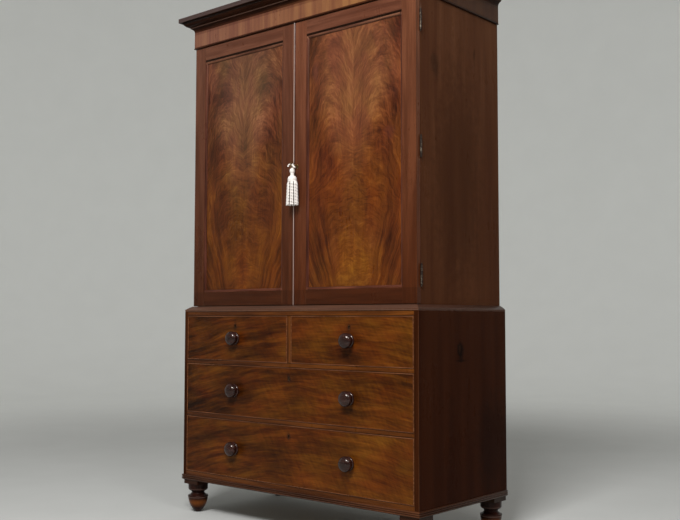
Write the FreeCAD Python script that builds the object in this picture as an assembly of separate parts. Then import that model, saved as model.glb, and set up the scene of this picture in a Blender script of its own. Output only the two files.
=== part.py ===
import FreeCAD, Part
import math
import os

# Linen press in two parts: a cupboard with two panelled doors and sliding linen
# trays, standing on a chest of two short drawers over two long ones. The frieze
# and cornice lift off as one frame, and four turned feet carry the chest.
# Millimetres. +Z is up, the front faces -Y, and the origin is on the floor,
# under the middle of the whole press with its knobs.

# ---- Driving sizes: chest ----------------------------------------------------
chest_width = 1250.0
chest_depth = 580.0
row_heights = [233.0, 207.0, 185.0]      # drawer openings, from the bottom row up
board = 20.0                             # carcase sides of chest and cupboard
back_board = 10.0
back_rebate = 10.0                       # how far a back is let into each side
back_board_gap = 0.4
chest_back_boards = 3
cupboard_back_boards = 6
bottom_rail = 18.0
blade = 17.0                             # rail between two rows of drawers
top_rail = 19.0
rail_depth = 60.0
divider_width = 20.0                     # upright between the short drawers
dust_board = 6.0
runner_width = 24.0
guide_width = 16.0
guide_height = 26.0

# ---- Driving sizes: base and feet --------------------------------------------
foot_height = 120.0
foot_radius = 43.0
foot_neck = 27.0
foot_tip = 11.0
foot_bulb_height = 63.0                  # top of the tapered bulb
foot_bulb_swell = 6.5
foot_ring_height = 8.0
foot_neck_height = 11.0                  # ring to the narrowest place
foot_quirk = 4.0                         # small steps beside the neck
foot_cup_height = 98.0                   # widest place of the cup
spigot_radius = 12.5
spigot_length = 30.0
pad_width = 84.0                         # square pad between foot and base
pad_height = 18.0
pad_inset = 3.0
base_width = 90.0                        # plan width of the base frame members
reed = 7.0                               # height of one reed of the base moulding
reed_count = 3
reed_out = 3.0
reed_bed = 1.7                           # how far the wood under the reeds stands out
base_strip = 1.0                         # plain strip under the reeds

# ---- Driving sizes: cupboard -------------------------------------------------
setback = 25.0                           # ledge between chest and cupboard
door_setback = 26.0                      # ledge in front of the doors
cupboard_height = 1155.0
cupboard_floor = 20.0
cupboard_roof = 19.0
waist_height = 21.0
waist_edge = 6.0                         # upright edge of the waist moulding
waist_land = 3.0                         # flat next to the cupboard
waist_arris = 1.0
waist_swell = 1.0

# ---- Driving sizes: doors ----------------------------------------------------
door_thickness = 22.0
stile_width = 64.0
door_top_rail = 66.0
door_bottom_rail = 60.0
panel_thickness = 8.0
panel_recess = 8.0
panel_groove = 8.0
ovolo = 9.5                              # moulding round each panel
ovolo_below = 1.0                        # top of the moulding below the frame's face
ovolo_lip = 1.0
ovolo_quirk = 0.6
ovolo_swell = 1.6
astragal_radius = 4.0
astragal_offset = 1.0
astragal_seat = 0.6

# ---- Driving sizes: hinges ---------------------------------------------------
hinge_length = 76.0
hinge_end = 104.0                        # door end to the middle of a hinge
leaf_width = 18.0
leaf_thickness = 1.8
knuckle_radius = 4.0
knuckle_count = 5
pin_radius = 1.5
pin_tip = 2.6                            # radius of the balls at the pin's ends
pin_tip_seat = 0.4

# ---- Driving sizes: lock, key, bolts and tassel ------------------------------
lock_height = 552.0                      # door bottom to the keyhole
key_backset = 16.0
lock_length = 60.0
lock_width = 44.0
lock_thickness = 12.0
lock_plate = 2.0
bolt_size = 8.0
bolt_length = 30.0
bolt_notch = 12.0                        # notch in the bolt that the bit works in
bit_bite = 2.0                           # how far the bit reaches into the notch
notch_room = 1.5                         # notch above the bit
bolt_throw = 10.0
shank_radius = 2.6
bit_reach = 10.0
bit_length = 7.0
bit_thickness = 2.6
key_collar_radius = 4.2
key_collar_length = 2.5
key_collar_gap = 2.0                     # bow to collar
key_stand = 29.0                         # door face to the middle of the bow
bow_radius = 11.0
bow_hole = 7.0
bow_thickness = 3.0
keyhole_radius = 3.6
keyhole_slot = 3.4
keyhole_drop = 10.6
liner_wall = 1.2
liner_depth = 3.0
slide_bolt_radius = 4.0
slide_bolt_length = 95.0
slide_bolt_throw = 12.0
slide_bolt_inset = 30.0
slide_bolt_knob = 5.0
slide_bolt_knob_stand = 5.0              # neck between the bolt and its knob
slide_bolt_knob_end = 15.0               # knob to the far end of the bolt
bolt_plate_start = 16.0                  # tip of the bolt to its plate
bolt_plate_thickness = 1.6
bolt_plate_width = 20.0
staple_length = 9.0
staple_places = [3.0, 33.0]              # from the start of the plate
staple_wall = 2.0
loop_radius = 5.0
cord_radius = 1.8
ball_radius = 10.5
tassel_neck = 7.0
tassel_neck_length = 8.0
tassel_head = 18.0
tassel_head_height = 22.0
tassel_head_foot = 15.0                  # radius where the head meets the skirt
tassel_length = 162.0                    # keyhole to the lower end
skirt_top_width = 23.0                   # half widths of the skirt
skirt_half_width = 28.0
skirt_half_depth = 22.0

# ---- Driving sizes: drawers --------------------------------------------------
drawer_gap = 1.0                         # round each drawer front
drawer_room = 25.0                       # behind each drawer
front_thickness = 20.0
lining = 10.0                            # drawer sides and back
drawer_bottom = 7.0
bottom_rise = 9.0
side_drop = 8.0                          # side below the top of the front
bead_width = 3.2
bead_out = 2.2
bead_depth = 12.0
knob_out = 41.0
knob_radius = 29.5
knob_head = 17.0                         # thickness of the head
knob_edge = 3.0                          # half the thickness of the head's rim
knob_crown = 7.5                         # height of the dome
knob_crown_radius = 25.5
knob_collar = 26.0                       # flat disc against the drawer front
knob_collar_height = 3.5
knob_collar_edge = 3.0                   # rounding of the disc's rim
knob_neck = 15.0
knob_under = 22.0                        # radius where the neck meets the head
knob_curve = 1.2                         # bulge of each turned curve
knob_shank = 8.0                         # radius of the spigot in the drawer front
knob_shank_length = 13.0
keyhole_down = 40.0
drawer_lock_length = 56.0
drawer_lock_height = 34.0
drawer_lock_thickness = 9.0
drawer_lock_below = 20.0                 # keyhole to the lower edge of the lock
stop_size = 40.0
stop_height = 6.0

# ---- Driving sizes: trays ----------------------------------------------------
tray_count = 4
tray_first = 26.0                        # first tray above the cupboard floor
tray_room = 21.0                         # behind each tray
tray_top_room = 176.0                    # above the top tray
tray_setback = 60.0                      # tray front behind the carcase front
tray_side = 12.0
tray_height = 128.0
tray_front_height = 76.0
tray_bottom = 8.0
tray_sweep = 90.0                        # length of the curve at each side's front
tray_runner = 18.0
tray_gap = 2.0

# ---- Driving sizes: frieze and cornice ---------------------------------------
frieze_height = 74.0
frieze_out = 5.0
frieze_board = 22.0
frieze_bead_height = 5.0
frieze_bead_out = 2.0
lining_width = 70.0
lining_height = 18.0
cornice_out = 51.0                       # cornice beyond the frieze
cornice_height = 61.5
fascia_height = 18.0
fascia_step = 12.0
ovolo_out = 21.0
ovolo_height = 19.0
fillet_height = 5.0
fillet_step = 4.0
cavetto_swell = 4.0
ovolo_sag = 3.0                          # bulge of the large ovolo
soffit_step = 1.0

# ---- Clearances --------------------------------------------------------------
running = 0.05                           # pins and spigots, on radius
slide = 0.3                              # one piece that slides or rests on another
door_gap = 1.5                           # between the doors, and under and over them
hang_gap = 1.0                           # door to carcase
leaf_gap = 0.1
knuckle_clear = 0.2
knuckle_end_gap = 0.3
hole_clear = 0.6
loop_hang = 0.6                          # cord loop above the rim that it hangs on

mitre_reach = 80.0                       # plan size of the wedge that cuts a mitre
over = 1.0                               # how far a cutting solid runs past a face

# ---- Places worked out from the sizes ----------------------------------------
front_y = (knob_out - chest_depth) / 2.0
back_y = front_y + chest_depth
half_chest = chest_width / 2.0
half_inside = half_chest - board
half_cupboard = half_chest - setback
half_cupboard_inside = half_cupboard - board
door_front = front_y + door_setback
door_back = door_front + door_thickness
carcase_front = door_back + hang_gap
pad_z = foot_height
base_z = pad_z + pad_height
base_height = reed * reed_count + base_strip
chest_z = base_z + base_height
rail_heights = [bottom_rail, blade, blade]
chest_height = sum(row_heights) + sum(rail_heights) + top_rail
chest_top = chest_z + chest_height
waist_top = chest_top + waist_height
floor_z = chest_top + cupboard_floor
cupboard_top = chest_top + cupboard_height
roof_z = cupboard_top - cupboard_roof
door_bottom = waist_top + door_gap
door_top = cupboard_top - door_gap
door_height = door_top - door_bottom
door_edge = door_gap / 2.0
drawer_depth = chest_depth - back_board - drawer_room
tray_front = carcase_front + tray_setback
tray_back = back_y - back_board - tray_room
tray_pitch = (roof_z - tray_top_room - tray_height - floor_z - tray_first) / (tray_count - 1)
frieze_top = cupboard_top + frieze_height
hinge_x = half_cupboard + knuckle_radius + knuckle_clear
hinge_y = door_back + hang_gap / 2.0
keyhole_x = door_edge + key_backset
keyhole_z = door_bottom + lock_height
bolt_rise = bit_reach - bit_bite + bolt_size / 2.0


def v(x, y, z):
    return FreeCAD.Vector(x, y, z)


def block(x0, x1, y0, y1, z0, z1):
    """Box between two limits along each axis, in either order."""
    low = v(min(x0, x1), min(y0, y1), min(z0, z1))
    return Part.makeBox(abs(x1 - x0), abs(y1 - y0), abs(z1 - z0), low)


def rod(radius, start, end):
    along = end.sub(start)
    return Part.makeCylinder(radius, along.Length, start, along)


def edges_of(steps, place):
    """Closed outline from steps: (a, b) is a line to that point, and
    ((a, b), (a, b)) an arc through the first point to the second."""
    edges = []
    here = place(*steps[0])
    for step in steps[1:] + [steps[0]]:
        if isinstance(step[0], tuple):
            middle = place(*step[0])
            there = place(*step[1])
            edges.append(Part.Arc(here, middle, there).toShape())
        else:
            there = place(*step)
            if here.distanceToPoint(there) > 1e-6:
                edges.append(Part.LineSegment(here, there).toShape())
        here = there
    return edges


def face_of(steps, place):
    return Part.Face(Part.Wire(edges_of(steps, place)))


def prism(points, z0, z1):
    """Upright prism over a plan outline of straight lines."""
    face = face_of(points, lambda x, y: v(x, y, z0))
    return face.extrude(v(0, 0, z1 - z0))


def turned(steps, centre, along):
    """Solid of revolution: steps are (distance along, radius), from and to the axis."""
    across = v(0, 0, 1) if abs(along.z) < 0.5 else v(1, 0, 0)

    def place(distance, radius):
        return centre + along * distance + across * radius

    return face_of(steps, place).revolve(centre, along, 360)


def swell(start, end, sag):
    """Arc step to end, bulging by sag to the left of the way from start to end."""
    run = end[0] - start[0]
    rise = end[1] - start[1]
    length = math.hypot(run, rise)
    middle = ((start[0] + end[0]) / 2 - sag * rise / length, (start[1] + end[1]) / 2 + sag * run / length)
    return (middle, end)


def arcs(points):
    """Steps through (a, b) or (a, b, sag) points, each sag bulging the stretch before it."""
    steps = [points[0][:2]]
    for before, point in zip(points, points[1:]):
        if len(point) == 3:
            steps.append(swell(before[:2], point[:2], point[2]))
        else:
            steps.append(point)
    return steps


def cap_steps(along, radius, height):
    """Arc of a dome centred on the axis, from its rim to its crown."""
    ball = (radius * radius + height * height) / (2 * height)
    half = math.asin(radius / ball) / 2
    middle = (along + height - ball + ball * math.cos(half), ball * math.sin(half))
    return (middle, (along + height, 0.0))


def ogee(y0, z0, y1, z1):
    """Two equal arcs that leave (y0, z0) and reach (y1, z1) level."""
    run = (y1 - y0) / 2
    rise = (z1 - z0) / 2
    radius = (run * run + rise * rise) / (2 * rise)
    half = math.atan2(run, radius - rise) / 2
    across = radius * math.sin(half)
    up = radius * (1 - math.cos(half))
    middle = (y0 + run, z0 + rise)
    return [((y0 + across, z0 + up), middle), ((y1 - across, z1 - up), (y1, z1))]


def mirror_x(shape):
    return shape.mirror(v(0, 0, 0), v(1, 0, 0))


def both_sides(shape):
    return [shape, mirror_x(shape)]


def mitred_three(steps, half_width, y_front, y_back, depth, reach):
    """Moulding along the front and both sides, mitred at the front corners.
    steps give (out, z), with out measured from the front and side faces."""
    z_low = -over
    z_high = frieze_top + cornice_height + over
    outer = half_width + reach
    inner = half_width - depth
    far = y_front - reach
    near = y_front + depth
    front = face_of(steps, lambda out, z: v(-outer, y_front - out, z)).extrude(v(2 * outer, 0, 0))
    plan = [(-outer, far), (outer, far), (inner, near), (-inner, near)]
    front = front.common(prism(plan, z_low, z_high))
    side = face_of(steps, lambda out, z: v(half_width + out, far, z)).extrude(v(0, y_back - far, 0))
    plan = [(outer, far), (outer, y_back), (inner, y_back), (inner, near)]
    side = side.common(prism(plan, z_low, z_high))
    return front.Solids + side.Solids + mirror_x(side).Solids


def mitred_four(steps, x0, x1, z0, z1, reach):
    """Moulding round an upright rectangle, mitred at its corners.
    steps give (inwards, y), with inwards measured from the rectangle's edge."""
    middle_x = (x0 + x1) / 2.0
    middle_z = (z0 + z1) / 2.0
    half_x = (x1 - x0) / 2.0
    half_z = (z1 - z0) / 2.0
    deep = min(y_values(steps)) - over
    thick = max(y_values(steps)) - deep + over
    pieces = []
    for turn in range(4):
        half_a = half_x if turn % 2 == 0 else half_z
        half_b = half_z if turn % 2 == 0 else half_x
        strip = face_of(steps, lambda into, y: v(-half_a, y, into - half_b)).extrude(v(2 * half_a, 0, 0))
        plan = [(-half_a, -half_b), (half_a, -half_b), (half_a - reach, reach - half_b),
                (reach - half_a, reach - half_b)]
        wedge = face_of(plan, lambda a, b: v(a, deep, b)).extrude(v(0, thick, 0))
        piece = strip.common(wedge)
        piece.rotate(v(0, 0, 0), v(0, 1, 0), 90 * turn)
        piece.translate(v(middle_x, 0, middle_z))
        pieces += piece.Solids
    return pieces


def y_values(steps):
    values = []
    for step in steps:
        points = step if isinstance(step[0], tuple) else [step]
        values += [point[1] for point in points]
    return values


def keyhole(x, z, y0, y1, grow):
    """Round hole with a slot below it, as a solid to cut with or a liner."""
    hole = rod(keyhole_radius + grow, v(x, y0, z), v(x, y1, z))
    half_slot = keyhole_slot / 2.0 + grow
    slot = block(x - half_slot, x + half_slot, y0, y1, z, z - keyhole_drop - grow)
    return hole.fuse(slot).removeSplitter()


def liner(x, z, y_face):
    """Brass lining of a keyhole, flush with the wood."""
    outer = keyhole(x, z, y_face, y_face + liner_depth, liner_wall)
    return outer.cut(keyhole(x, z, y_face - over, y_face + liner_depth + over, 0)).Solids


# ---- Chest carcase -----------------------------------------------------------
def chest_boards(nodes):
    side = block(half_inside, half_chest, front_y, back_y, chest_z, chest_top)
    rebate = block(half_inside, half_inside + back_rebate, back_y - back_board, back_y, chest_z, chest_top)
    nodes["chest_sides"] = both_sides(side.cut(rebate))
    behind = front_y + rail_depth
    back_face = back_y - back_board
    nodes["chest_bottom"] = [block(-half_inside, half_inside, behind, back_face, chest_z,
                                   chest_z + bottom_rail)]
    nodes["chest_top"] = [block(-half_inside, half_inside, behind, back_face, chest_top - top_rail,
                                chest_top)]
    count = chest_back_boards
    height = (chest_height - back_board_gap * (count - 1)) / count
    half_back = half_inside + back_rebate
    nodes["chest_back"] = []
    for index in range(count):
        low = chest_z + index * (height + back_board_gap)
        nodes["chest_back"].append(block(-half_back, half_back, back_face, back_y, low, low + height))


def row_floor(row):
    """Top of the rail under a row of drawers."""
    return chest_z + sum(rail_heights[:row + 1]) + sum(row_heights[:row])


def chest_rails(nodes):
    rails = []
    behind = front_y + rail_depth
    for row in range(len(row_heights)):
        top = row_floor(row)
        rails.append(block(-half_inside, half_inside, front_y, behind, top - rail_heights[row], top))
    rails.append(block(-half_inside, half_inside, front_y, behind, chest_top - top_rail, chest_top))
    top_row = len(row_heights) - 1
    rails.append(block(-divider_width / 2, divider_width / 2, front_y, behind, row_floor(top_row),
                       chest_top - top_rail))
    nodes["chest_rails"] = rails


def drawer_supports(nodes):
    """Runners in line with each blade, dust boards between them, guides and stops."""
    behind = front_y + rail_depth
    back_face = back_y - back_board
    runners = []
    dust = []
    rows = len(row_heights)
    stop_y = front_y + front_thickness + slide
    for row in range(rows):
        top = row_floor(row)
        if row > 0:
            low = top - rail_heights[row]
            runner = block(half_inside - runner_width, half_inside, behind, back_face, low, top)
            runners += both_sides(runner)
            middle = (low + top) / 2
            reach = half_inside - runner_width
            dust.append(block(-reach, reach, behind, back_face, middle - dust_board / 2,
                              middle + dust_board / 2))
        centre = half_inside / 2 + divider_width / 4 if row == rows - 1 else half_inside / 2
        stop = block(centre - stop_size / 2, centre + stop_size / 2, stop_y,
                     front_y + rail_depth, top, top + stop_height)
        runners += both_sides(stop)
    top = row_floor(rows - 1)
    half_guide = guide_width / 2
    low = top - rail_heights[rows - 1] / 2 + dust_board / 2
    runners.append(block(-runner_width, runner_width, behind, back_face, low, top))
    runners.append(block(-half_guide, half_guide, behind, back_face, top, top + guide_height))
    nodes["drawer_runners"] = runners
    nodes["dust_boards"] = dust


# ---- Base frame, pads and feet -----------------------------------------------
def foot_centres():
    inset = pad_inset + pad_width / 2
    x = half_chest - inset
    return [(side * x, y) for side in (-1, 1) for y in (front_y + inset, back_y - inset)]


def base_frame(nodes):
    steps = [(-base_width, base_z), (reed_bed, base_z), (reed_bed, base_z + base_strip)]
    for index in range(reed_count):
        low = base_z + base_strip + index * reed
        steps.append(((reed_bed + reed_out, low + reed / 2), (reed_bed, low + reed)))
    steps.append((-base_width, chest_z))
    frame = mitred_three(steps, half_chest, front_y, back_y, base_width, mitre_reach)
    inner = half_chest - base_width
    frame.append(block(-inner, inner, back_y - base_width, back_y, base_z, chest_z))
    pads = []
    half_pad = pad_width / 2
    for x, y in foot_centres():
        pads.append(block(x - half_pad, x + half_pad, y - half_pad, y + half_pad, pad_z, base_z))
    spigots = [rod(spigot_radius + running, v(x, y, pad_z - over), v(x, y, pad_z + spigot_length + slide))
               for x, y in foot_centres()]
    nodes["base_frame"] = [piece for solid in frame + pads for piece in solid.cut(spigots).Solids]


def feet(nodes):
    """Turned foot: tip, bulb, shoulder ring, neck and cup, with a spigot above."""
    ring_top = foot_bulb_height + foot_ring_height
    neck = ring_top + foot_neck_height
    cup_low = neck + 2 * foot_quirk
    top = foot_height + spigot_length
    steps = arcs([(0.0, 0.0), (0.0, foot_tip), (foot_bulb_height, foot_radius - 1.0, foot_bulb_swell),
                  (ring_top, foot_radius - 1.0, foot_ring_height / 8), (neck, foot_neck, -foot_quirk / 2),
                  (cup_low - 1.0, foot_neck + foot_quirk, -1.0), (cup_low, foot_neck + foot_quirk),
                  (foot_cup_height, foot_radius - 1.5, foot_quirk / 2), (foot_height, foot_radius - 1.0),
                  (foot_height, spigot_radius), (top, spigot_radius), (top, 0.0)])
    nodes["feet"] = [turned(steps, v(x, y, 0), v(0, 0, 1)) for x, y in foot_centres()]


# ---- Waist moulding ----------------------------------------------------------
def waist_moulding(nodes):
    """Bevelled ledge that covers the joint and keeps the cupboard in place."""
    slope_top = waist_land - setback
    steps = arcs([(-setback, chest_top), (-waist_arris, chest_top), (0.0, chest_top + waist_arris),
                  (0.0, chest_top + waist_edge), (slope_top, waist_top, -waist_swell),
                  (-setback, waist_top)])
    pieces = mitred_three(steps, half_chest, front_y, back_y, setback, mitre_reach)
    half_filler = half_chest - setback
    pieces.append(block(-half_filler, half_filler, front_y + setback, carcase_front,
                        chest_top, waist_top))
    nodes["waist_moulding"] = pieces


# ---- Cupboard carcase --------------------------------------------------------
def cupboard_boards(nodes):
    side = block(half_cupboard_inside, half_cupboard, carcase_front, back_y, chest_top, cupboard_top)
    rebate = block(half_cupboard_inside, half_cupboard_inside + back_rebate, back_y - back_board,
                   back_y, chest_top, cupboard_top)
    leaf_cuts = [fixed_leaf_recess(z) for z in hinge_heights()]
    nodes["cupboard_sides"] = both_sides(side.cut(rebate).cut(leaf_cuts))
    back_face = back_y - back_board
    bolt_x = -door_edge - slide_bolt_inset
    bolt_y = slide_bolt_y()
    hole_radius = slide_bolt_radius + hole_clear
    roof = block(-half_cupboard_inside, half_cupboard_inside, carcase_front, back_face, roof_z,
                 cupboard_top)
    depth = slide_bolt_throw + hole_clear
    nodes["cupboard_top"] = [roof.cut(rod(hole_radius, v(bolt_x, bolt_y, roof_z - over),
                                          v(bolt_x, bolt_y, roof_z + depth)))]
    floor = block(-half_cupboard_inside, half_cupboard_inside, carcase_front, back_face, chest_top,
                  floor_z)
    nodes["cupboard_bottom"] = [floor.cut(rod(hole_radius, v(bolt_x, bolt_y, floor_z + over),
                                              v(bolt_x, bolt_y, floor_z - depth)))]
    count = cupboard_back_boards
    half_back = half_cupboard_inside + back_rebate
    width = (2 * half_back - back_board_gap * (count - 1)) / count
    nodes["cupboard_back"] = []
    for index in range(count):
        left = -half_back + index * (width + back_board_gap)
        nodes["cupboard_back"].append(block(left, left + width, back_face, back_y, chest_top,
                                            cupboard_top))


# ---- Hinges ------------------------------------------------------------------
def hinge_heights():
    return [door_bottom + hinge_end, (door_bottom + door_top) / 2, door_top - hinge_end]


def leaf(z, y0, y1):
    inner = half_cupboard - leaf_width
    return block(inner, hinge_x, y0, y1, z - hinge_length / 2, z + hinge_length / 2)


def fixed_leaf_recess(z):
    return leaf(z, carcase_front - over, hinge_y + leaf_gap + leaf_thickness)


def moving_leaf_recess(z):
    return leaf(z, hinge_y - leaf_gap - leaf_thickness, door_back + over)


def hinge_half(z, moving):
    """One leaf with its knuckles. The fixed half keeps the odd knuckles, and the pin."""
    if moving:
        plate = leaf(z, hinge_y - leaf_gap - leaf_thickness, hinge_y - leaf_gap)
    else:
        plate = leaf(z, hinge_y + leaf_gap, hinge_y + leaf_gap + leaf_thickness)
    step = hinge_length / knuckle_count
    low = z - hinge_length / 2
    own = []
    other = []
    for index in range(knuckle_count):
        start = low + index * step
        barrel = rod(knuckle_radius, v(hinge_x, hinge_y, start + knuckle_end_gap / 2),
                     v(hinge_x, hinge_y, start + step - knuckle_end_gap / 2))
        space = rod(knuckle_radius + knuckle_end_gap, v(hinge_x, hinge_y, start - knuckle_end_gap / 2),
                    v(hinge_x, hinge_y, start + step + knuckle_end_gap / 2))
        if (index % 2 == 1) == moving:
            own.append(barrel)
        else:
            other.append(space)
    half = plate.cut(other).fuse(own)
    bore = rod(pin_radius + running, v(hinge_x, hinge_y, low - over),
               v(hinge_x, hinge_y, low + hinge_length + over))
    half = half.cut(bore)
    if moving:
        return half.Solids
    pin = rod(pin_radius, v(hinge_x, hinge_y, low), v(hinge_x, hinge_y, low + hinge_length))
    for end in (low - pin_tip + pin_tip_seat, low + hinge_length + pin_tip - pin_tip_seat):
        pin = pin.fuse(Part.makeSphere(pin_tip, v(hinge_x, hinge_y, end)))
    return half.Solids + pin.Solids


def hinges(nodes):
    fixed = [solid for z in hinge_heights() for solid in hinge_half(z, False)]
    moving = [solid for z in hinge_heights() for solid in hinge_half(z, True)]
    nodes["hinge_fixed_leaves"] = fixed + [mirror_x(solid) for solid in fixed]
    nodes["door_right_hinges"] = moving
    nodes["door_left_hinges"] = [mirror_x(solid) for solid in moving]


# ---- Doors -------------------------------------------------------------------
def door(nodes, name, meeting_cuts):
    """Framed door, built as the right one: two stiles, two rails, panel and ovolo."""
    x0 = door_edge
    x1 = half_cupboard
    inner0 = x0 + stile_width
    inner1 = x1 - stile_width
    low = door_bottom + door_bottom_rail
    high = door_top - door_top_rail
    panel_face = door_front + panel_recess
    groove = block(inner0 - panel_groove, inner1 + panel_groove, panel_face,
                   panel_face + panel_thickness, low - panel_groove, high + panel_groove)
    outer_stile = block(inner1, x1, door_front, door_back, door_bottom, door_top)
    outer_stile = outer_stile.cut([groove] + [moving_leaf_recess(z) for z in hinge_heights()])
    meeting_stile = block(x0, inner0, door_front, door_back, door_bottom, door_top)
    meeting_stile = meeting_stile.cut([groove] + meeting_cuts)
    rails = [block(inner0, inner1, door_front, door_back, door_bottom, low).cut(groove),
             block(inner0, inner1, door_front, door_back, high, door_top).cut(groove)]
    margin = panel_groove - slide
    panel = block(inner0 - margin, inner1 + margin, panel_face, panel_face + panel_thickness,
                  low - margin, high + margin)
    top = door_front + ovolo_below
    steps = arcs([(0.0, panel_face), (0.0, top), (ovolo_lip, top),
                  (ovolo, panel_face - ovolo_quirk, -ovolo_swell), (ovolo, panel_face)])
    moulding = mitred_four(steps, inner0, inner1, low, high, ovolo + over)
    pieces = {"frame": [outer_stile, meeting_stile] + rails, "panel": [panel], "moulding": moulding}
    for part, solids in pieces.items():
        if name == "door_left":
            solids = [mirror_x(solid) for solid in solids]
        nodes[name + "_" + part] = solids


def astragal(nodes):
    """Half-round bead that covers the joint between the doors."""
    y = door_front - astragal_seat
    middle = astragal_offset
    steps = [(middle - astragal_radius, y), ((middle, y - astragal_radius), (middle + astragal_radius, y))]
    bead = face_of(steps, lambda x, depth: v(x, depth, door_bottom)).extrude(v(0, 0, door_height))
    seat = block(door_edge, middle + astragal_radius, y, door_front, door_bottom, door_top)
    nodes["astragal"] = bead.fuse(seat).removeSplitter().Solids


# ---- Door lock, bolt and key -------------------------------------------------
def lock_space():
    return block(door_edge - over, door_edge + lock_width, door_back - lock_thickness, door_back + over,
                 keyhole_z - lock_length / 2, keyhole_z + lock_length / 2)


def bolt_box(grow, start, end):
    """Door bolt between two places along X, grown all round to make its slot."""
    half = bolt_size / 2 + grow
    middle_y = door_back - lock_thickness / 2
    z = keyhole_z + bolt_rise
    return block(start, end, middle_y - half, middle_y + half, z - half, z + half)


def door_lock(nodes):
    case = block(door_edge, door_edge + lock_width, door_back - lock_thickness, door_back,
                 keyhole_z - lock_length / 2, keyhole_z + lock_length / 2)
    ward = rod(bit_reach + hole_clear, v(keyhole_x, door_back - lock_thickness + lock_plate, keyhole_z),
               v(keyhole_x, door_back - lock_plate, keyhole_z))
    mouth = keyhole(keyhole_x, keyhole_z, door_back - lock_thickness - over,
                    door_back - lock_thickness + lock_plate + over, 0)
    slot = bolt_box(slide, door_edge - over, door_edge + bolt_length + slide)
    nodes["door_lock"] = case.cut([ward, mouth, slot]).Solids
    bolt = bolt_box(0, door_edge, door_edge + bolt_length)
    notch_low = keyhole_z + bolt_rise - bolt_size / 2
    half_notch = bolt_notch / 2
    notch = block(keyhole_x - half_notch, keyhole_x + half_notch, door_back - lock_thickness, door_back,
                  notch_low - over, notch_low + bit_bite + notch_room)
    nodes["lock_bolt"] = bolt.cut(notch).Solids
    nodes["door_escutcheon"] = liner(keyhole_x, keyhole_z, door_front)


def key(nodes):
    """Key in the lock: bow, collar, shank and bit, with the bit up in the bolt's notch."""
    bow_y = door_front - key_stand
    tip_y = door_back - lock_plate - slide
    shank_y = bow_y + (bow_hole + bow_radius) / 2
    shank = rod(shank_radius, v(keyhole_x, shank_y, keyhole_z), v(keyhole_x, tip_y, keyhole_z))
    half = bow_thickness / 2
    bow = rod(bow_radius, v(keyhole_x - half, bow_y, keyhole_z), v(keyhole_x + half, bow_y, keyhole_z))
    outside = shank_radius + over
    hole = rod(bow_hole, v(keyhole_x - outside, bow_y, keyhole_z), v(keyhole_x + outside, bow_y, keyhole_z))
    collar_y = bow_y + bow_radius + key_collar_gap
    collar = rod(key_collar_radius, v(keyhole_x, collar_y, keyhole_z),
                 v(keyhole_x, collar_y + key_collar_length, keyhole_z))
    bit = block(keyhole_x - bit_thickness / 2, keyhole_x + bit_thickness / 2, tip_y - bit_length, tip_y,
                keyhole_z, keyhole_z + bit_reach)
    nodes["key"] = shank.fuse([bow, collar, bit]).cut(hole).removeSplitter().Solids


# ---- Tassel ------------------------------------------------------------------
def tassel(nodes):
    """Cotton tassel on a cord loop through the bow: ball, neck, head and skirt."""
    y = door_front - key_stand
    loop_z = keyhole_z - bow_hole + loop_hang - loop_radius + cord_radius
    loop = Part.makeTorus(loop_radius, cord_radius, v(keyhole_x, y, loop_z), v(0, 1, 0))
    ball_top = loop_z - loop_radius
    ball = Part.makeSphere(ball_radius, v(keyhole_x, y, ball_top - ball_radius))
    skirt_low = keyhole_z - tassel_length
    neck_top = ball_top - 2 * ball_radius
    skirt_top = neck_top - tassel_neck_length - tassel_head_height
    steps = arcs([(0.0, 0.0), (0.0, tassel_head_foot), (tassel_head_height / 3, tassel_head),
                  (tassel_head_height, tassel_neck, 3.0),
                  (tassel_head_height + tassel_neck_length + over, tassel_neck),
                  (tassel_head_height + tassel_neck_length + over, 0.0)])
    head = turned(steps, v(keyhole_x, y, skirt_top), v(0, 0, 1))

    def oval(z, half_width, half_depth):
        ellipse = Part.Ellipse(v(keyhole_x, y, z), half_width, half_depth)
        return Part.Wire([ellipse.toShape()])

    slim = skirt_half_depth / skirt_half_width
    skirt = Part.makeLoft([oval(skirt_top, skirt_top_width, slim * skirt_top_width),
                           oval(skirt_low, skirt_half_width, skirt_half_depth)], True)
    nodes["tassel"] = loop.fuse([ball, head]).Solids + skirt.Solids


# ---- Slide bolts of the left door --------------------------------------------
def slide_bolt_y():
    return door_back + bolt_plate_thickness + staple_wall + slide_bolt_radius


def slide_bolts(nodes):
    """Two bolts inside the left door, shot up into the roof and down into the floor."""
    x = -door_edge - slide_bolt_inset
    y = slide_bolt_y()
    plates = []
    bolts = {"bolt_top": (roof_z - slide, -1), "bolt_bottom": (floor_z + slide, 1)}
    for name, (end, away) in bolts.items():
        far = end + away * slide_bolt_length
        shaft = rod(slide_bolt_radius, v(x, y, end), v(x, y, far))
        grip_z = far - away * slide_bolt_knob_end
        grip_y = y + slide_bolt_radius + slide_bolt_knob_stand + slide_bolt_knob
        neck = rod(slide_bolt_knob / 2, v(x, y, grip_z), v(x, grip_y, grip_z))
        grip = Part.makeSphere(slide_bolt_knob, v(x, grip_y, grip_z))
        nodes[name] = shaft.fuse([neck, grip]).removeSplitter().Solids
        start = end + away * bolt_plate_start
        finish = far + away * slide_bolt_throw
        half = bolt_plate_width / 2
        plate = block(x - half, x + half, door_back, door_back + bolt_plate_thickness, start, finish)
        bore = rod(slide_bolt_radius + slide, v(x, y, start), v(x, y, finish))
        staples = []
        reach = slide_bolt_radius + staple_wall
        for place in staple_places:
            low = start + away * place
            staples.append(block(x - reach, x + reach, door_back + bolt_plate_thickness, y + reach,
                                 low, low + away * staple_length))
        staple_solid = plate.fuse(staples).cut(bore)
        plates += staple_solid.removeSplitter().Solids
    nodes["bolt_plates"] = plates


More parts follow.
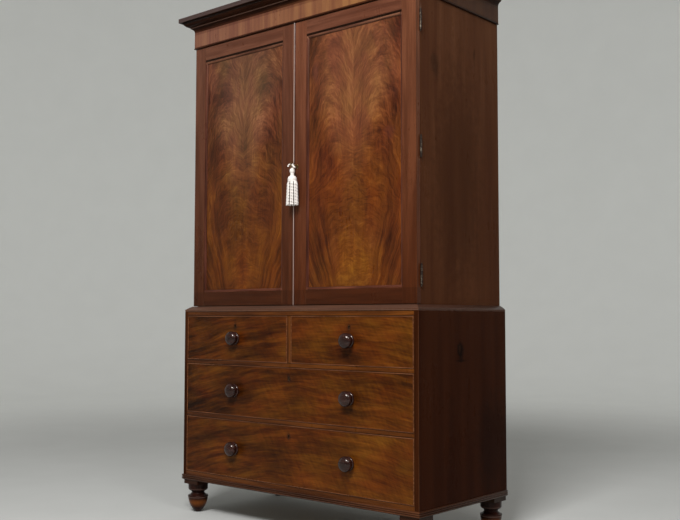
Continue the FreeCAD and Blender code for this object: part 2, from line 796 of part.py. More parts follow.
# ---- Drawers -----------------------------------------------------------------
def drawer(nodes, name, x0, x1, z0, z1, knob_places):
    """Drawer with a beaded front in the opening from (x0, z0) to (x1, z1)."""
    left = x0 + drawer_gap
    right = x1 - drawer_gap
    low = z0 + slide
    high = z1 - drawer_gap
    front_left = left + bead_width
    front_right = right - bead_width
    front_low = low + bead_width
    front_high = high - bead_width
    back_of_front = front_y + front_thickness
    middle_x = (x0 + x1) / 2
    middle_z = (z0 + z1) / 2
    keyhole_top = z1 - keyhole_down
    front = block(front_left, front_right, front_y, back_of_front, front_low, front_high)
    lock_low = keyhole_top - drawer_lock_below
    lock = block(middle_x - drawer_lock_length / 2, middle_x + drawer_lock_length / 2,
                 back_of_front - drawer_lock_thickness, back_of_front, lock_low,
                 lock_low + drawer_lock_height)
    passage = keyhole(middle_x, keyhole_top, front_y - over, back_of_front, liner_wall)
    sockets = [rod(knob_shank + running, v(x, front_y - over, middle_z),
                   v(x, front_y + knob_shank_length + slide, middle_z)) for x in knob_places]
    nodes[name + "_front"] = front.cut([lock, passage] + sockets).Solids
    tube = keyhole(middle_x, keyhole_top, back_of_front - drawer_lock_thickness - over,
                   back_of_front - drawer_lock_thickness + lock_plate, 0)
    nodes[name + "_lock"] = lock.cut(tube).Solids + liner(middle_x, keyhole_top, front_y)
    y_out = front_y - bead_out
    round_y = y_out + bead_width / 2
    steps = [(0.0, front_y + bead_depth), (0.0, round_y),
             ((bead_width / 2, y_out), (bead_width, round_y)), (bead_width, front_y + bead_depth)]
    nodes[name + "_bead"] = mitred_four(steps, left, right, low, high, bead_width)
    back_end = front_y + drawer_depth
    side_high = front_high - side_drop
    box = []
    for outer, inner in ((front_left, front_left + lining), (front_right, front_right - lining)):
        box.append(block(outer, inner, back_of_front, back_end, low, side_high))
    inner_left = front_left + lining
    inner_right = front_right - lining
    floor = low + bottom_rise
    box.append(block(inner_left, inner_right, back_of_front, back_end, floor, floor + drawer_bottom))
    box.append(block(inner_left, inner_right, back_end - lining, back_end, floor + drawer_bottom,
                     side_high))
    nodes[name + "_box"] = box
    nodes[name + "_knobs"] = [knob(x, middle_z) for x in knob_places]


def knob(x, z):
    """Turned knob: shank, disc, neck and a domed head."""
    disc_top = knob_collar_height + knob_collar_edge
    head = knob_out - knob_head
    neck = (disc_top + head) / 2
    rim = head + knob_edge
    crown = knob_out - knob_crown
    steps = arcs([(-knob_shank_length, 0.0), (-knob_shank_length, knob_shank), (0.0, knob_shank),
                  (0.0, knob_collar), (knob_collar_height, knob_collar),
                  (disc_top, knob_collar - knob_collar_edge, knob_curve),
                  (neck, knob_neck, -knob_curve), (head, knob_under, -knob_curve),
                  (rim, knob_radius, knob_curve), (crown, knob_crown_radius, knob_curve / 2)])
    steps.append(cap_steps(crown, knob_crown_radius, knob_crown))
    return turned(steps, v(x, front_y, z), v(0, -1, 0))


def drawers(nodes):
    knob_x = (half_inside + divider_width / 2) / 2
    rows = len(row_heights)
    for row, name in enumerate(("drawer_bottom", "drawer_middle")):
        drawer(nodes, name, -half_inside, half_inside, row_floor(row), row_floor(row) + row_heights[row],
               [-knob_x, knob_x])
    low = row_floor(rows - 1)
    high = low + row_heights[rows - 1]
    drawer(nodes, "drawer_short_left", -half_inside, -divider_width / 2, low, high, [-knob_x])
    drawer(nodes, "drawer_short_right", divider_width / 2, half_inside, low, high, [knob_x])


# ---- Trays -------------------------------------------------------------------
def trays(nodes):
    """Open linen trays, each on a pair of runners, with low fronts and swept sides."""
    y0 = tray_front
    y1 = tray_back
    half = half_cupboard_inside - tray_gap
    runners = []
    for index in range(tray_count):
        low = floor_z + tray_first + index * tray_pitch
        top = low + tray_height
        front_top = low + tray_front_height
        sweep = ogee(y0, front_top, y0 + tray_sweep, top)
        steps = [(y0, low), (y0, front_top)] + sweep + [(y1, top), (y1, low)]
        side = face_of(steps, lambda y, z: v(half - tray_side, y, z)).extrude(v(tray_side, 0, 0))
        inner = half - tray_side
        front = block(-inner, inner, y0, y0 + tray_side, low, front_top)
        back = block(-inner, inner, y1 - tray_side, y1, low, top)
        bottom = block(-inner, inner, y0 + tray_side, y1 - tray_side, low, low + tray_bottom)
        nodes["tray_%d" % (index + 1)] = both_sides(side) + [front, back, bottom]
        runner = block(half_cupboard_inside - tray_runner, half_cupboard_inside, y0,
                       back_y - back_board, low - slide - tray_runner, low - slide)
        runners += both_sides(runner)
    nodes["tray_runners"] = runners


# ---- Frieze and cornice ------------------------------------------------------
def frieze(nodes):
    """Lift-off frame: front, sides and back rail, with linings that rest on the cupboard."""
    steps = [(frieze_out - frieze_board, cupboard_top + frieze_bead_height),
             (frieze_out, cupboard_top + frieze_bead_height), (frieze_out, frieze_top),
             (frieze_out - frieze_board, frieze_top)]
    frame = mitred_three(steps, half_cupboard, door_front, back_y, frieze_board - frieze_out,
                         mitre_reach)
    inner = half_cupboard + frieze_out - frieze_board
    frame.append(block(-inner, inner, back_y - frieze_board, back_y, cupboard_top + frieze_bead_height,
                       frieze_top))
    lining_front = door_front - frieze_out + frieze_board
    frame.append(block(-inner, inner, lining_front, lining_front + lining_width, cupboard_top,
                       cupboard_top + lining_height))
    nodes["frieze"] = frame
    y_low = cupboard_top + frieze_bead_height / 2
    out = frieze_out + frieze_bead_out
    round_out = out - frieze_bead_height / 2
    steps = [(frieze_out - frieze_board, cupboard_top), (round_out, cupboard_top),
             ((out, y_low), (round_out, cupboard_top + frieze_bead_height)),
             (frieze_out - frieze_board, cupboard_top + frieze_bead_height)]
    nodes["frieze_bead"] = mitred_three(steps, half_cupboard, door_front, back_y,
                                        frieze_board - frieze_out, mitre_reach)


def cornice(nodes):
    """Cavetto, fillet and ovolo under a plain fascia, mitred at the front corners."""
    start = frieze_out
    top = frieze_top + cornice_height
    fascia_low = top - fascia_height
    ovolo_top = fascia_low - soffit_step
    ovolo_low = ovolo_top - ovolo_height
    ovolo_edge = start + cornice_out - fascia_step
    ovolo_in = ovolo_edge - ovolo_out
    fillet_low = ovolo_low - fillet_height
    cavetto_edge = ovolo_in - fillet_step
    steps = arcs([(start - frieze_board, frieze_top), (start, frieze_top),
                  (cavetto_edge, fillet_low, cavetto_swell), (cavetto_edge, ovolo_low),
                  (ovolo_in, ovolo_low), (ovolo_edge, ovolo_top, -ovolo_sag), (ovolo_edge, fascia_low),
                  (start + cornice_out, fascia_low), (start + cornice_out, top),
                  (start - frieze_board, top)])
    nodes["cornice"] = mitred_three(steps, half_cupboard, door_front, back_y,
                                    frieze_board - start, mitre_reach)


# ---- Build and export --------------------------------------------------------
def build():
    nodes = {}
    chest_boards(nodes)
    chest_rails(nodes)
    drawer_supports(nodes)
    base_frame(nodes)
    feet(nodes)
    waist_moulding(nodes)
    cupboard_boards(nodes)
    hinges(nodes)
    strike = mirror_x(bolt_box(hole_clear, -door_edge - bolt_throw - hole_clear, door_edge))
    door(nodes, "door_left", [strike])
    passage = keyhole(keyhole_x, keyhole_z, door_front - over, door_back, liner_wall)
    door(nodes, "door_right", [lock_space(), passage])
    astragal(nodes)
    door_lock(nodes)
    key(nodes)
    tassel(nodes)
    slide_bolts(nodes)
    drawers(nodes)
    trays(nodes)
    frieze(nodes)
    cornice(nodes)
    return nodes


os.makedirs("parts", exist_ok=True)
for node_name, solids in build().items():
    shape = Part.makeCompound(solids)
    shape.exportStep("parts/" + node_name + ".step")
    print(node_name, len(solids), "valid" if all(s.isValid() for s in solids) else "NOT VALID")
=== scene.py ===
import math

import bpy
from mathutils import Euler, Matrix, Vector


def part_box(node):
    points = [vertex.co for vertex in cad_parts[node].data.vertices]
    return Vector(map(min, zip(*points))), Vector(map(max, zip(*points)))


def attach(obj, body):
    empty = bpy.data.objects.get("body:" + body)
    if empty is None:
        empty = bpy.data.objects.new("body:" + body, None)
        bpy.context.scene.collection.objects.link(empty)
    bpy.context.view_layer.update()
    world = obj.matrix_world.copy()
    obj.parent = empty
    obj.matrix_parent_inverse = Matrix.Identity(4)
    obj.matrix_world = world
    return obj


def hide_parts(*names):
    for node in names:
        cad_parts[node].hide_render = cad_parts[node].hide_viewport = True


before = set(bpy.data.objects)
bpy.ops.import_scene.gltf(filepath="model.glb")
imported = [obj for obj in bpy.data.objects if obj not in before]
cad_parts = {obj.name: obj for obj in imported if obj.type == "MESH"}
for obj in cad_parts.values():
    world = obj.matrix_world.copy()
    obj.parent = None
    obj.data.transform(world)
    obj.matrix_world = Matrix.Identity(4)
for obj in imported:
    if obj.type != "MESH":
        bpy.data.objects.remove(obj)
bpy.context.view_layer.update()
bpy.context.scene.view_settings.view_transform = "Standard"

# ---- Camera ----------------------------------------------------------------------------------
pitch, heading, roll = (math.radians(degrees) for degrees in (93.50, 40.807, 0.071))
bpy.ops.object.select_all(action="DESELECT")
bpy.ops.object.camera_add(location=(2.5966, -2.9721, 0.8272))
camera = bpy.context.object
camera.name = "camera"
aim = Euler((pitch, 0, heading)).to_matrix()
camera.rotation_euler = (aim @ Matrix.Rotation(roll, 3, "Z")).to_euler()
camera.data.sensor_width = 36.0
camera.data.lens = 50.50
bpy.context.scene.camera = camera

# ---- Places that the finishes and new pieces follow, in metres -------------------------------
X, Y, Z = 0, 1, 2
drawer_names = ("bottom", "middle", "short_left", "short_right")
opening_low, opening_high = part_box("door_right_moulding")
stile_inner = opening_low[X]     # edge of each meeting stile, from the middle of the press
stile_outer = opening_high[X]    # edge of each outer stile
panel_foot = opening_low[Z]
panel_head = opening_high[Z]
panel_middle = (stile_inner + stile_outer) / 2
panel_half = (stile_outer - stile_inner) / 2
veneer_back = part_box("drawer_bottom_front")[1][Y]
mitre_line = 0.356               # |x| + y beyond which a moulding runs along the side
front_depth = -0.228             # y behind which every moulding is on a side
moulding_reach = 0.009           # how far a door's moulding comes in over its panel


# ---- Small tools for node trees --------------------------------------------------------------
class Value:
    """Output of a node. Sums, products and comparisons with it are written as with a number."""

    def __init__(self, socket):
        self.socket = socket
        self.tree = socket.id_data

    def __add__(self, other):
        return maths("ADD", self, other)

    def __sub__(self, other):
        return maths("SUBTRACT", self, other)

    def __rsub__(self, other):
        return maths("SUBTRACT", other, self)

    def __mul__(self, other):
        return maths("MULTIPLY", self, other)

    def __truediv__(self, other):
        return maths("DIVIDE", self, other)

    def __rtruediv__(self, other):
        return maths("DIVIDE", other, self)

    def __gt__(self, other):
        return maths("GREATER_THAN", self, other)

    def __lt__(self, other):
        return maths("LESS_THAN", self, other)

    def __abs__(self):
        return maths("ABSOLUTE", self)


def feed(socket, value):
    """Links a value into a socket, or sets a constant there."""
    if isinstance(value, Value):
        value.tree.links.new(value.socket, socket)
    elif socket.type == "RGBA":
        socket.default_value = (*value, 1.0)
    else:
        socket.default_value = value


def put(tree, kind, feeds, **settings):
    """One node with its settings, and with values or constants in its inputs."""
    node = tree.nodes.new(kind)
    for name, setting in settings.items():
        setattr(node, name, setting)
    for key, value in feeds.items():
        feed(node.inputs[key], value)
    return node


def tree_of(*values):
    """Node tree that the first value among numbers and values belongs to."""
    return next(value.tree for value in values if isinstance(value, Value))


def maths(operation, *values):
    node = put(tree_of(*values), "ShaderNodeMath", dict(enumerate(values)), operation=operation)
    return Value(node.outputs[0])


def vector_maths(operation, *vectors, output="Vector"):
    node = put(tree_of(*vectors), "ShaderNodeVectorMath", dict(enumerate(vectors)), operation=operation)
    return Value(node.outputs[output])


def larger(first, second):
    return maths("MAXIMUM", first, second)


def smaller(first, second):
    return maths("MINIMUM", first, second)


def sign(value):
    return maths("SIGN", value)


def between(value, low, high):
    """1 where a value lies between two numbers, else 0."""
    return (value > low) * (value < high)


def spread(value, low, high, to_low=0.0, to_high=1.0, kind="SMOOTHSTEP"):
    """Carries low to high over to other ends, and holds those beyond them."""
    feeds = {"Value": value, "From Min": low, "From Max": high, "To Min": to_low, "To Max": to_high}
    return Value(put(value.tree, "ShaderNodeMapRange", feeds, interpolation_type=kind).outputs[0])


def noise(vector, scale, detail=2.0, rough=0.5):
    feeds = {"Vector": vector, "Scale": scale, "Detail": detail, "Roughness": rough}
    return Value(put(vector.tree, "ShaderNodeTexNoise", feeds).outputs["Fac"])


def stretch(vector, scale, shift=(0, 0, 0)):
    feeds = {"Vector": vector, "Scale": scale, "Location": shift}
    return Value(put(vector.tree, "ShaderNodeMapping", feeds).outputs[0])


def split(vector):
    return [Value(part) for part in put(vector.tree, "ShaderNodeSeparateXYZ", {0: vector}).outputs]


def join(x, y, z):
    return Value(put(tree_of(x, y, z), "ShaderNodeCombineXYZ", {0: x, 1: y, 2: z}).outputs[0])


def pick(share, first, second):
    """Vector between two vectors."""
    node = put(share.tree, "ShaderNodeMix", {0: share, 4: first, 5: second}, data_type="VECTOR")
    return Value(node.outputs[1])


def blend(share, first, second, mode="MIX"):
    """Colour between two colours."""
    feeds = {0: share, 6: first, 7: second}
    node = put(tree_of(share, first, second), "ShaderNodeMix", feeds, data_type="RGBA", blend_type=mode)
    return Value(node.outputs[2])


def tones(value, *stops):
    """Colour ramp from (place, colour) stops in rising order."""
    node = put(value.tree, "ShaderNodeValToRGB", {0: value})
    ramp = node.color_ramp.elements
    for end, (place, colour) in ((ramp[0], stops[0]), (ramp[1], stops[-1])):
        end.position = place
        end.color = (*colour, 1.0)
    for place, colour in stops[1:-1]:
        ramp.new(place).color = (*colour, 1.0)
    return Value(node.outputs[0])


def dim(colour, share):
    return tuple(part * share for part in colour)


def new_group(name, vectors, numbers, results):
    """Vectors and numbers that come into a new node group, by label, and its end for the results."""
    tree = bpy.data.node_groups.new(name, "ShaderNodeTree")
    for labels, way, kind in ((vectors, "INPUT", "Vector"), (numbers, "INPUT", "Float"),
                              (results, "OUTPUT", "Float")):
        for label in labels:
            tree.interface.new_socket(label, in_out=way, socket_type="NodeSocket" + kind)
    start = tree.nodes.new("NodeGroupInput")
    given = {label: Value(start.outputs[label]) for label in (*vectors, *numbers)}
    return given, tree.nodes.new("NodeGroupOutput")


def close_group(end, results):
    """Links the results to the end of a node group."""
    for label, value in results.items():
        feed(end.inputs[label], value)
    return end.id_data


def use(group, feeds):
    """Results of a node group, by name."""
    node = put(feeds["Vector"].tree, "ShaderNodeGroup", feeds, node_tree=group)
    return {socket.name: Value(socket) for socket in node.outputs}


# ---- Shared effects --------------------------------------------------------------------------
def make_grain():
    """Straight wood grain along the vector's Z: broad stripes, fibres and pores."""
    given, end = new_group("wood_grain", ["Vector"], ["Stripe width"], ["Stripe", "Fibre", "Pore", "Height"])
    vector = given["Vector"]
    x, y, z = split(vector)
    wander = noise(stretch(vector, (1.5, 1.5, 0.9)), 1.0, 1.0)
    stripe = noise(join(wander * 0.05 + x, y, z * 0.06), 1.0 / given["Stripe width"], 3.0, 0.6)
    fibre = noise(stretch(vector, (420, 420, 9)), 1.0, 3.0, 0.65)
    pore = spread(noise(stretch(vector, (1500, 1500, 70)), 1.0, 1.0), 0.62, 0.74)
    return close_group(end, {"Stripe": spread(stripe, 0.28, 0.72), "Fibre": fibre, "Pore": pore,
                             "Height": fibre * 0.35 - pore})


def make_polish():
    """Roughness of old french polish: cloudy sheen, hand marks and fine rubbing."""
    given, end = new_group("old_polish", ["Vector"], ["Sheen", "Cloud"], ["Roughness"])
    cloud = noise(given["Vector"], 4.0, 4.0, 0.6)
    rub = noise(stretch(given["Vector"], (60, 60, 14)), 1.0, 3.0, 0.7)
    change = (cloud * 0.7 + rub * 0.3 - 0.5) * given["Cloud"]
    return close_group(end, {"Roughness": change * 2.0 + given["Sheen"]})


def make_plume():
    """Book-matched crotch figure of a door panel: how light each place is, and how golden, tawny or red."""
    given, end = new_group("plume_figure", ["Vector"], [], ["Light", "Gold", "Tawny", "Red"])
    x, _, z = split(given["Vector"])
    door = sign(x)
    from_seam = abs(x) - panel_middle
    rise = z - panel_foot
    half = abs(from_seam)
    # The two leaves of a door are nearly alike, and the two doors are not.
    which = sign(from_seam) * 0.045 + door * 0.8
    leaf = join(half, which, rise)

    def drift(scale):
        return noise(leaf, scale) - 0.5

    # How far out from the seam a place counts, for the flared stripes and for the feather.
    sway = drift(5.5)
    loose = noise(given["Vector"], 7.0) - 0.5
    across = loose * 0.14 + half / panel_half
    across = drift(24.0) * 0.06 + across
    gathered = spread(rise, 0.42, 0.0, kind="LINEAR")
    flow = (sway * 0.14 + across) * (gathered * gathered * 0.95 + 1.0)
    across = sway * 0.26 + across

    # Streaks that rise beside the seam and bend over it at the top, in rings round the crown.
    crown_out, crown_width = 0.52, 0.5
    crown_rise, crown_height = 0.52, 0.42
    aside = (flow - crown_out) / crown_width
    over = larger(rise - crown_rise, 0.0) / crown_height
    ring = maths("SQRT", aside * aside + over * over)
    turn = aside + which

    def streaks(over_ring, over_turn, over_rise, detail, rough):
        return noise(join(ring * over_ring, turn * over_turn, rise * over_rise), 1.0, detail, rough) - 0.5

    top = spread(rise, 0.42, 0.72)
    low = spread(rise, 0.46, 0.16)
    outer = low * spread(flow, 0.45, 0.85)
    streaky = larger(outer, top * 0.75) * 0.75 + 0.25
    wide = spread(rise, 0.42, 0.85, 0.34, 0.80) + spread(abs(rise - 0.19), 0.22, 0.0, 0.0, 0.26)
    column = spread((sway * 0.5 + across) / wide, 1.35, 0.45)
    beside = 1.0 - column

    # Feather: wisps across the column that arch up towards the seam.
    barb = across * across * 0.16 + rise
    dome = aside * aside * 0.12 + rise
    arch = dome * top + barb * (1.0 - top)
    arch = sway * 0.16 + arch
    arch = drift(30.0) * 0.030 + arch

    def wisps(over_arch, over_across, detail, rough):
        return noise(join(arch * over_arch, which, across * over_across), 1.0, detail, rough) - 0.5

    patch = noise(stretch(leaf, (8, 1, 4.5)), 1.0, 4.0, 0.6) - 0.5
    smooth = 1.0 - outer
    light = patch * 1.15 + 0.455
    for pattern, share in ((streaks(3.2, 0.9, 2.6, 2.0, 0.5), 0.85),
                           (streaks(10.0, 1.4, 3.0, 4.0, 0.62), 0.9),
                           (streaks(27.0, 5.0, 14.0, 4.0, 0.7), 1.0),
                           (streaks(60.0, 12.0, 40.0, 2.0, 0.6), 0.45)):
        light = pattern * streaky * share + light
    for pattern, share in ((wisps(85.0, 4.2, 4.0, 0.68), 0.95), (wisps(190.0, 16.0, 3.0, 0.6), 0.40),
                           (wisps(17.0, 2.2, 3.0, 0.55), 0.55)):
        light = pattern * smooth * share + light

    # Broad light and shade: column, sides, foot, head, and what sets each door and each leaf apart.
    light = light + (column * 0.10 - 0.035)
    light = beside * spread(abs(rise - 0.42), 0.20, 0.0) * -0.02 + light
    light = outer * spread(rise, 0.16, 0.30) * 0.10 + light
    light = spread(rise, 0.30, 0.10) * (door * 0.03 - 0.05) + light
    light = light + spread(rise, 0.78, 1.0, 0.0, -0.04)
    light = light + spread(abs(rise - 0.56), 0.30, 0.10, 0.0, 0.065)
    right_door = x > 0.0
    light = right_door * spread(rise, 0.95, 0.65) * 0.065 + light
    far_leaf = x < -panel_middle
    light = far_leaf * -0.05 + light
    right_leaf = sign(from_seam * door)
    near_seam = spread(half, 0.10, 0.0) * spread(rise, 0.28, 0.55)
    light = right_leaf * near_seam * -0.075 + light
    light = light + spread(half, 0.0, 0.0012, -0.05, 0.0)
    return close_group(end, {"Light": light,
                             "Gold": spread(rise, 0.95, 0.30) * spread(patch, -0.2, 0.2, 0.7, 1.0),
                             "Tawny": column * spread(rise, 0.30, 0.75),
                             "Red": beside * spread(rise, 0.18, 0.45)})


def make_wave():
    """Wavy figure of a drawer front: long bands that rise, level out and fall."""
    given, end = new_group("wavy_figure", ["Vector"], [], ["Light"])
    x, y, z = split(given["Vector"])
    crest_x = 0.12
    bow = 0.17
    from_crest = x - crest_x
    sway = noise(stretch(given["Vector"], (3, 3, 5)), 1.0) - 0.5
    level = sway * 0.065 + (z + from_crest * from_crest * bow)

    def bands(over_x, over_level, detail, rough):
        return noise(join(over_x, y, level * over_level), 1.0, detail, rough) - 0.5

    broad = bands(x * 5.0, 42.0, 5.0, 0.6)
    fine = bands(x * 14.0, 170.0, 4.0, 0.65)
    ripple = bands((level * 0.6 + x) * 75.0, 16.0, 3.0, 0.6)
    patch = noise(given["Vector"], 4.2, 3.0) - 0.5
    left = spread(x, 0.05, -0.35)
    light = broad * (left * 0.6 + 1.05) + 0.5
    light = fine * 0.75 + light
    light = ripple * (left * -0.25 + 0.42) + light
    return close_group(end, {"Light": patch * 0.9 + light})


def make_mark():
    """Soft ragged spot around a centre: 1 inside, 0 outside."""
    given, end = new_group("soft_mark", ["Vector", "Centre", "Size"], [], ["Mark"])
    off = vector_maths("SUBTRACT", given["Vector"], given["Centre"])
    far = vector_maths("LENGTH", vector_maths("DIVIDE", off, given["Size"]), output="Value")
    ragged = (noise(given["Vector"], 38.0, 4.0, 0.6) - 0.5) * 1.3 + far
    return close_group(end, {"Mark": spread(ragged, 1.1, 0.35)})


grain = make_grain()
polish = make_polish()
plume = make_plume()
wave = make_wave()
mark = make_mark()


# ---- Parts of a finish -----------------------------------------------------------------------
warm_gloss = (1.0, 0.66, 0.42)
square_on = 0.7                  # share of a normal past which a face counts as turned that way
through = 0.1                    # reach of a stain through the wood


def start_material(name):
    """New material, its shader and the place on the object."""
    material = bpy.data.materials.new(name)
    material.use_nodes = True
    tree = material.node_tree
    tree.nodes.clear()
    shader = tree.nodes.new("ShaderNodeBsdfPrincipled")
    end = tree.nodes.new("ShaderNodeOutputMaterial")
    tree.links.new(shader.outputs[0], end.inputs[0])
    return material, shader, Value(tree.nodes.new("ShaderNodeTexCoord").outputs["Object"])


def finish_material(shader, colour, rough, height=None, depth=0.0002, specular=0.35, tint=(1.0, 1.0, 1.0)):
    """Gives a shader its colour, roughness, gloss and relief."""
    feed(shader.inputs["Base Color"], colour)
    feed(shader.inputs["Roughness"], rough)
    feed(shader.inputs["Specular IOR Level"], specular)
    feed(shader.inputs["Specular Tint"], tint)
    if height is not None:
        bump = put(height.tree, "ShaderNodeBump", {"Strength": 0.35, "Distance": depth, "Height": height})
        feed(shader.inputs["Normal"], Value(bump.outputs[0]))


def facing(place):
    """Parts of the object's own normal."""
    return split(Value(place.tree.nodes.new("ShaderNodeTexCoord").outputs["Normal"]))


def lay_grain(place, kind):
    """Turns the place so that Z runs along the grain of each board of that kind."""
    if kind == "upright":
        return place
    x, y, z = split(place)
    wide = abs(x)
    along_x = join(z, y, x)
    if kind == "long":
        return along_x
    if kind == "door":
        return pick(between(wide, stile_inner, stile_outer), place, along_x)
    if kind == "door_moulding":
        in_from_stile = panel_half - abs(wide - panel_middle)
        return pick(in_from_stile > moulding_reach + 0.0005, place, along_x)
    if kind == "rails":
        divider_half, divider_foot, divider_head = 0.0101, 0.6521, 0.8369
        divider = (wide < divider_half) * between(z, divider_foot, divider_head)
        return pick(divider, along_x, place)
    along_y = join(z + 3.0, x, y)
    if kind == "deep":
        return along_y
    if kind == "box":
        return pick(abs(facing(place)[X]) > square_on, along_x, along_y)
    return pick(wide + y > mitre_line, along_x, along_y)


def grained(place, kind, stripe):
    return use(grain, {"Vector": lay_grain(place, kind), "Stripe width": stripe})


def polished(place, sheen, cloud=0.14):
    return use(polish, {"Vector": place, "Sheen": sheen, "Cloud": cloud})["Roughness"]


def stained(colour, place, centre, size, stain, share):
    """Colour with a soft ragged spot on it."""
    spot = use(mark, {"Vector": place, "Centre": centre, "Size": size})["Mark"]
    return blend(spot * share, colour, stain)


def toned(colour, value, *stops):
    """Colour multiplied by a ramp of tones."""
    return blend(1.0, colour, tones(value, *stops), "MULTIPLY")


# ---- Kinds of finish -------------------------------------------------------------------------
def mahogany(name, kind, dark, middle, light, stripe=0.03, sheen=0.3, specular=0.2, zones=(), tone_and_light_gradients=(),
             rail_shadow=None, bands=(), spots=(), side_tone=None, edge=None, shaded_edges=()):
    """Polished mahogany.

    Zones are (axis, low, high, tone) and the gradients (axis, low, tone there, high, tone there); some of
    both are painted light and shade. Rail_shadow is (low, high, tone) of the painted shade on a door's rail,
    and bands are (low, high, colour, share) of height, some of them painted highlights. Spots are (centre,
    size, stain, share), edge is (depth, dark, light) of front edges that differ, and the last argument holds
    the heights of edges with painted shade along them.
    """
    material, shader, place = start_material(name)
    wood = grained(place, kind, stripe)
    value = (wood["Fibre"] - 0.5) * 0.55 + wood["Stripe"]
    colour = tones(value, (0.05, dark), (0.5, middle), (0.95, light))
    x, y, z = axes = split(place)
    for axis, low, high, tone in zones:
        colour = blend(between(axes[axis], low, high), colour, tone, "MULTIPLY")
    # Gradients along an axis: tone, and up the doors and sides also painted light falling from above.
    for axis, low, low_tone, high, high_tone in tone_and_light_gradients:
        along = spread(axes[axis], low, high, kind="LINEAR")
        colour = blend(1.0, colour, blend(along, low_tone, high_tone), "MULTIPLY")
    if rail_shadow:
        low, high, tone = rail_shadow
        on_rail = between(abs(x), stile_inner, stile_outer)
        colour = blend(on_rail * between(z, low, high), colour, tone, "MULTIPLY")
    for low, high, tone, share in bands:
        colour = blend(between(z, low, high) * share, colour, tone)
    for spot in spots:
        colour = stained(colour, place, *spot)
    # Side runs darker than the front runs: partly painted shade on faces turned from the light, partly a
    # darker side tone.
    if side_tone:
        side = larger(abs(x) + y > mitre_line, y > front_depth)
        colour = blend(side, colour, side_tone, "MULTIPLY")
    if edge:
        depth, edge_dark, edge_light = edge
        colour = blend(y < depth, colour, tones(value, (0.05, edge_dark), (0.95, edge_light)))
    # Painted shade along the edges at these heights, where the gaps beside the drawers and under the waist
    # lie in shadow.
    if shaded_edges:
        nearest = abs(z - shaded_edges[0])
        for height in shaded_edges[1:]:
            nearest = smaller(nearest, abs(z - height))
        colour = blend(spread(nearest, 0.0006, 0.0026, 0.85, 0.0), colour, (0.008, 0.0025, 0.001))
    colour = blend(wood["Pore"] * 0.5, colour, dim(dark, 0.35))
    finish_material(shader, colour, polished(place, sheen), wood["Height"], 0.0002, specular, warm_gloss)
    return material


def flame_mahogany():
    """Figured veneer of the door panels."""
    material, shader, place = start_material("flame_mahogany")
    figure = use(plume, {"Vector": place})
    wood = grained(place, "upright", 0.02)
    value = (wood["Fibre"] - 0.5) * 0.25 + figure["Light"]
    brown = tones(value, (0.05, (0.024, 0.0065, 0.003)), (0.32, (0.060, 0.017, 0.006)),
                  (0.55, (0.105, 0.033, 0.011)), (0.78, (0.160, 0.058, 0.019)), (1.0, (0.220, 0.088, 0.032)))
    golden = tones(value, (0.05, (0.020, 0.0045, 0.001)), (0.32, (0.056, 0.0135, 0.002)),
                   (0.55, (0.098, 0.026, 0.003)), (0.78, (0.150, 0.046, 0.005)), (1.0, (0.210, 0.072, 0.008)))
    colour = blend(figure["Gold"], brown, golden)
    colour = blend(figure["Red"] * 0.32, colour, (1.06, 0.76, 0.78), "MULTIPLY")
    colour = blend(figure["Tawny"] * 0.24, colour, (0.150, 0.070, 0.034))
    cast = noise(stretch(place, (9, 1, 4.5), (0.7, 0, 0.3)), 1.0, 3.0, 0.6)
    colour = toned(colour, cast, (0.36, (0.99, 1.04, 0.97)), (0.62, (1.03, 0.88, 1.06)))
    x, _, z = split(place)
    left_door_head = (x < 0.0) * spread(z, 1.05, 1.35)
    colour = blend(left_door_head, colour, (1.02, 1.24, 1.46), "MULTIPLY")
    for spot in (((0.475, -0.2355, 1.512), (0.03, through, 0.035), (0.060, 0.014, 0.010), 0.45),
                 ((0.105, -0.2355, 1.79), (0.02, through, 0.05), (0.060, 0.018, 0.014), 0.5)):
        colour = stained(colour, place, *spot)
    colour = blend(wood["Pore"] * 0.3, colour, (0.03, 0.01, 0.005))
    finish_material(shader, colour, polished(place, 0.3), wood["Height"], 0.00015, 0.2, warm_gloss)
    return material


def dovetails(place, fibre, plain):
    """End of a drawer front, with the tails of the drawer's side let into it."""
    pitch_up, depth = 0.0443, 0.013
    half_tail, flare = 0.0125, 0.22
    half_line = 0.0003
    _, y, z = split(place)
    deep = veneer_back - y
    reach = abs(maths("FRACT", z / pitch_up) - 0.5) * pitch_up
    limit = deep * flare + half_tail
    inside = (reach < limit) * (deep < depth)
    outline = smaller(abs(reach - limit), abs(deep - depth))
    line = (outline < half_line) * (deep < depth + half_line)
    side_wood = tones(fibre, (0.3, (0.20, 0.122, 0.058)), (0.7, (0.32, 0.21, 0.11)))
    return blend(line * 0.8, blend(inside, plain, side_wood), (0.03, 0.015, 0.008))


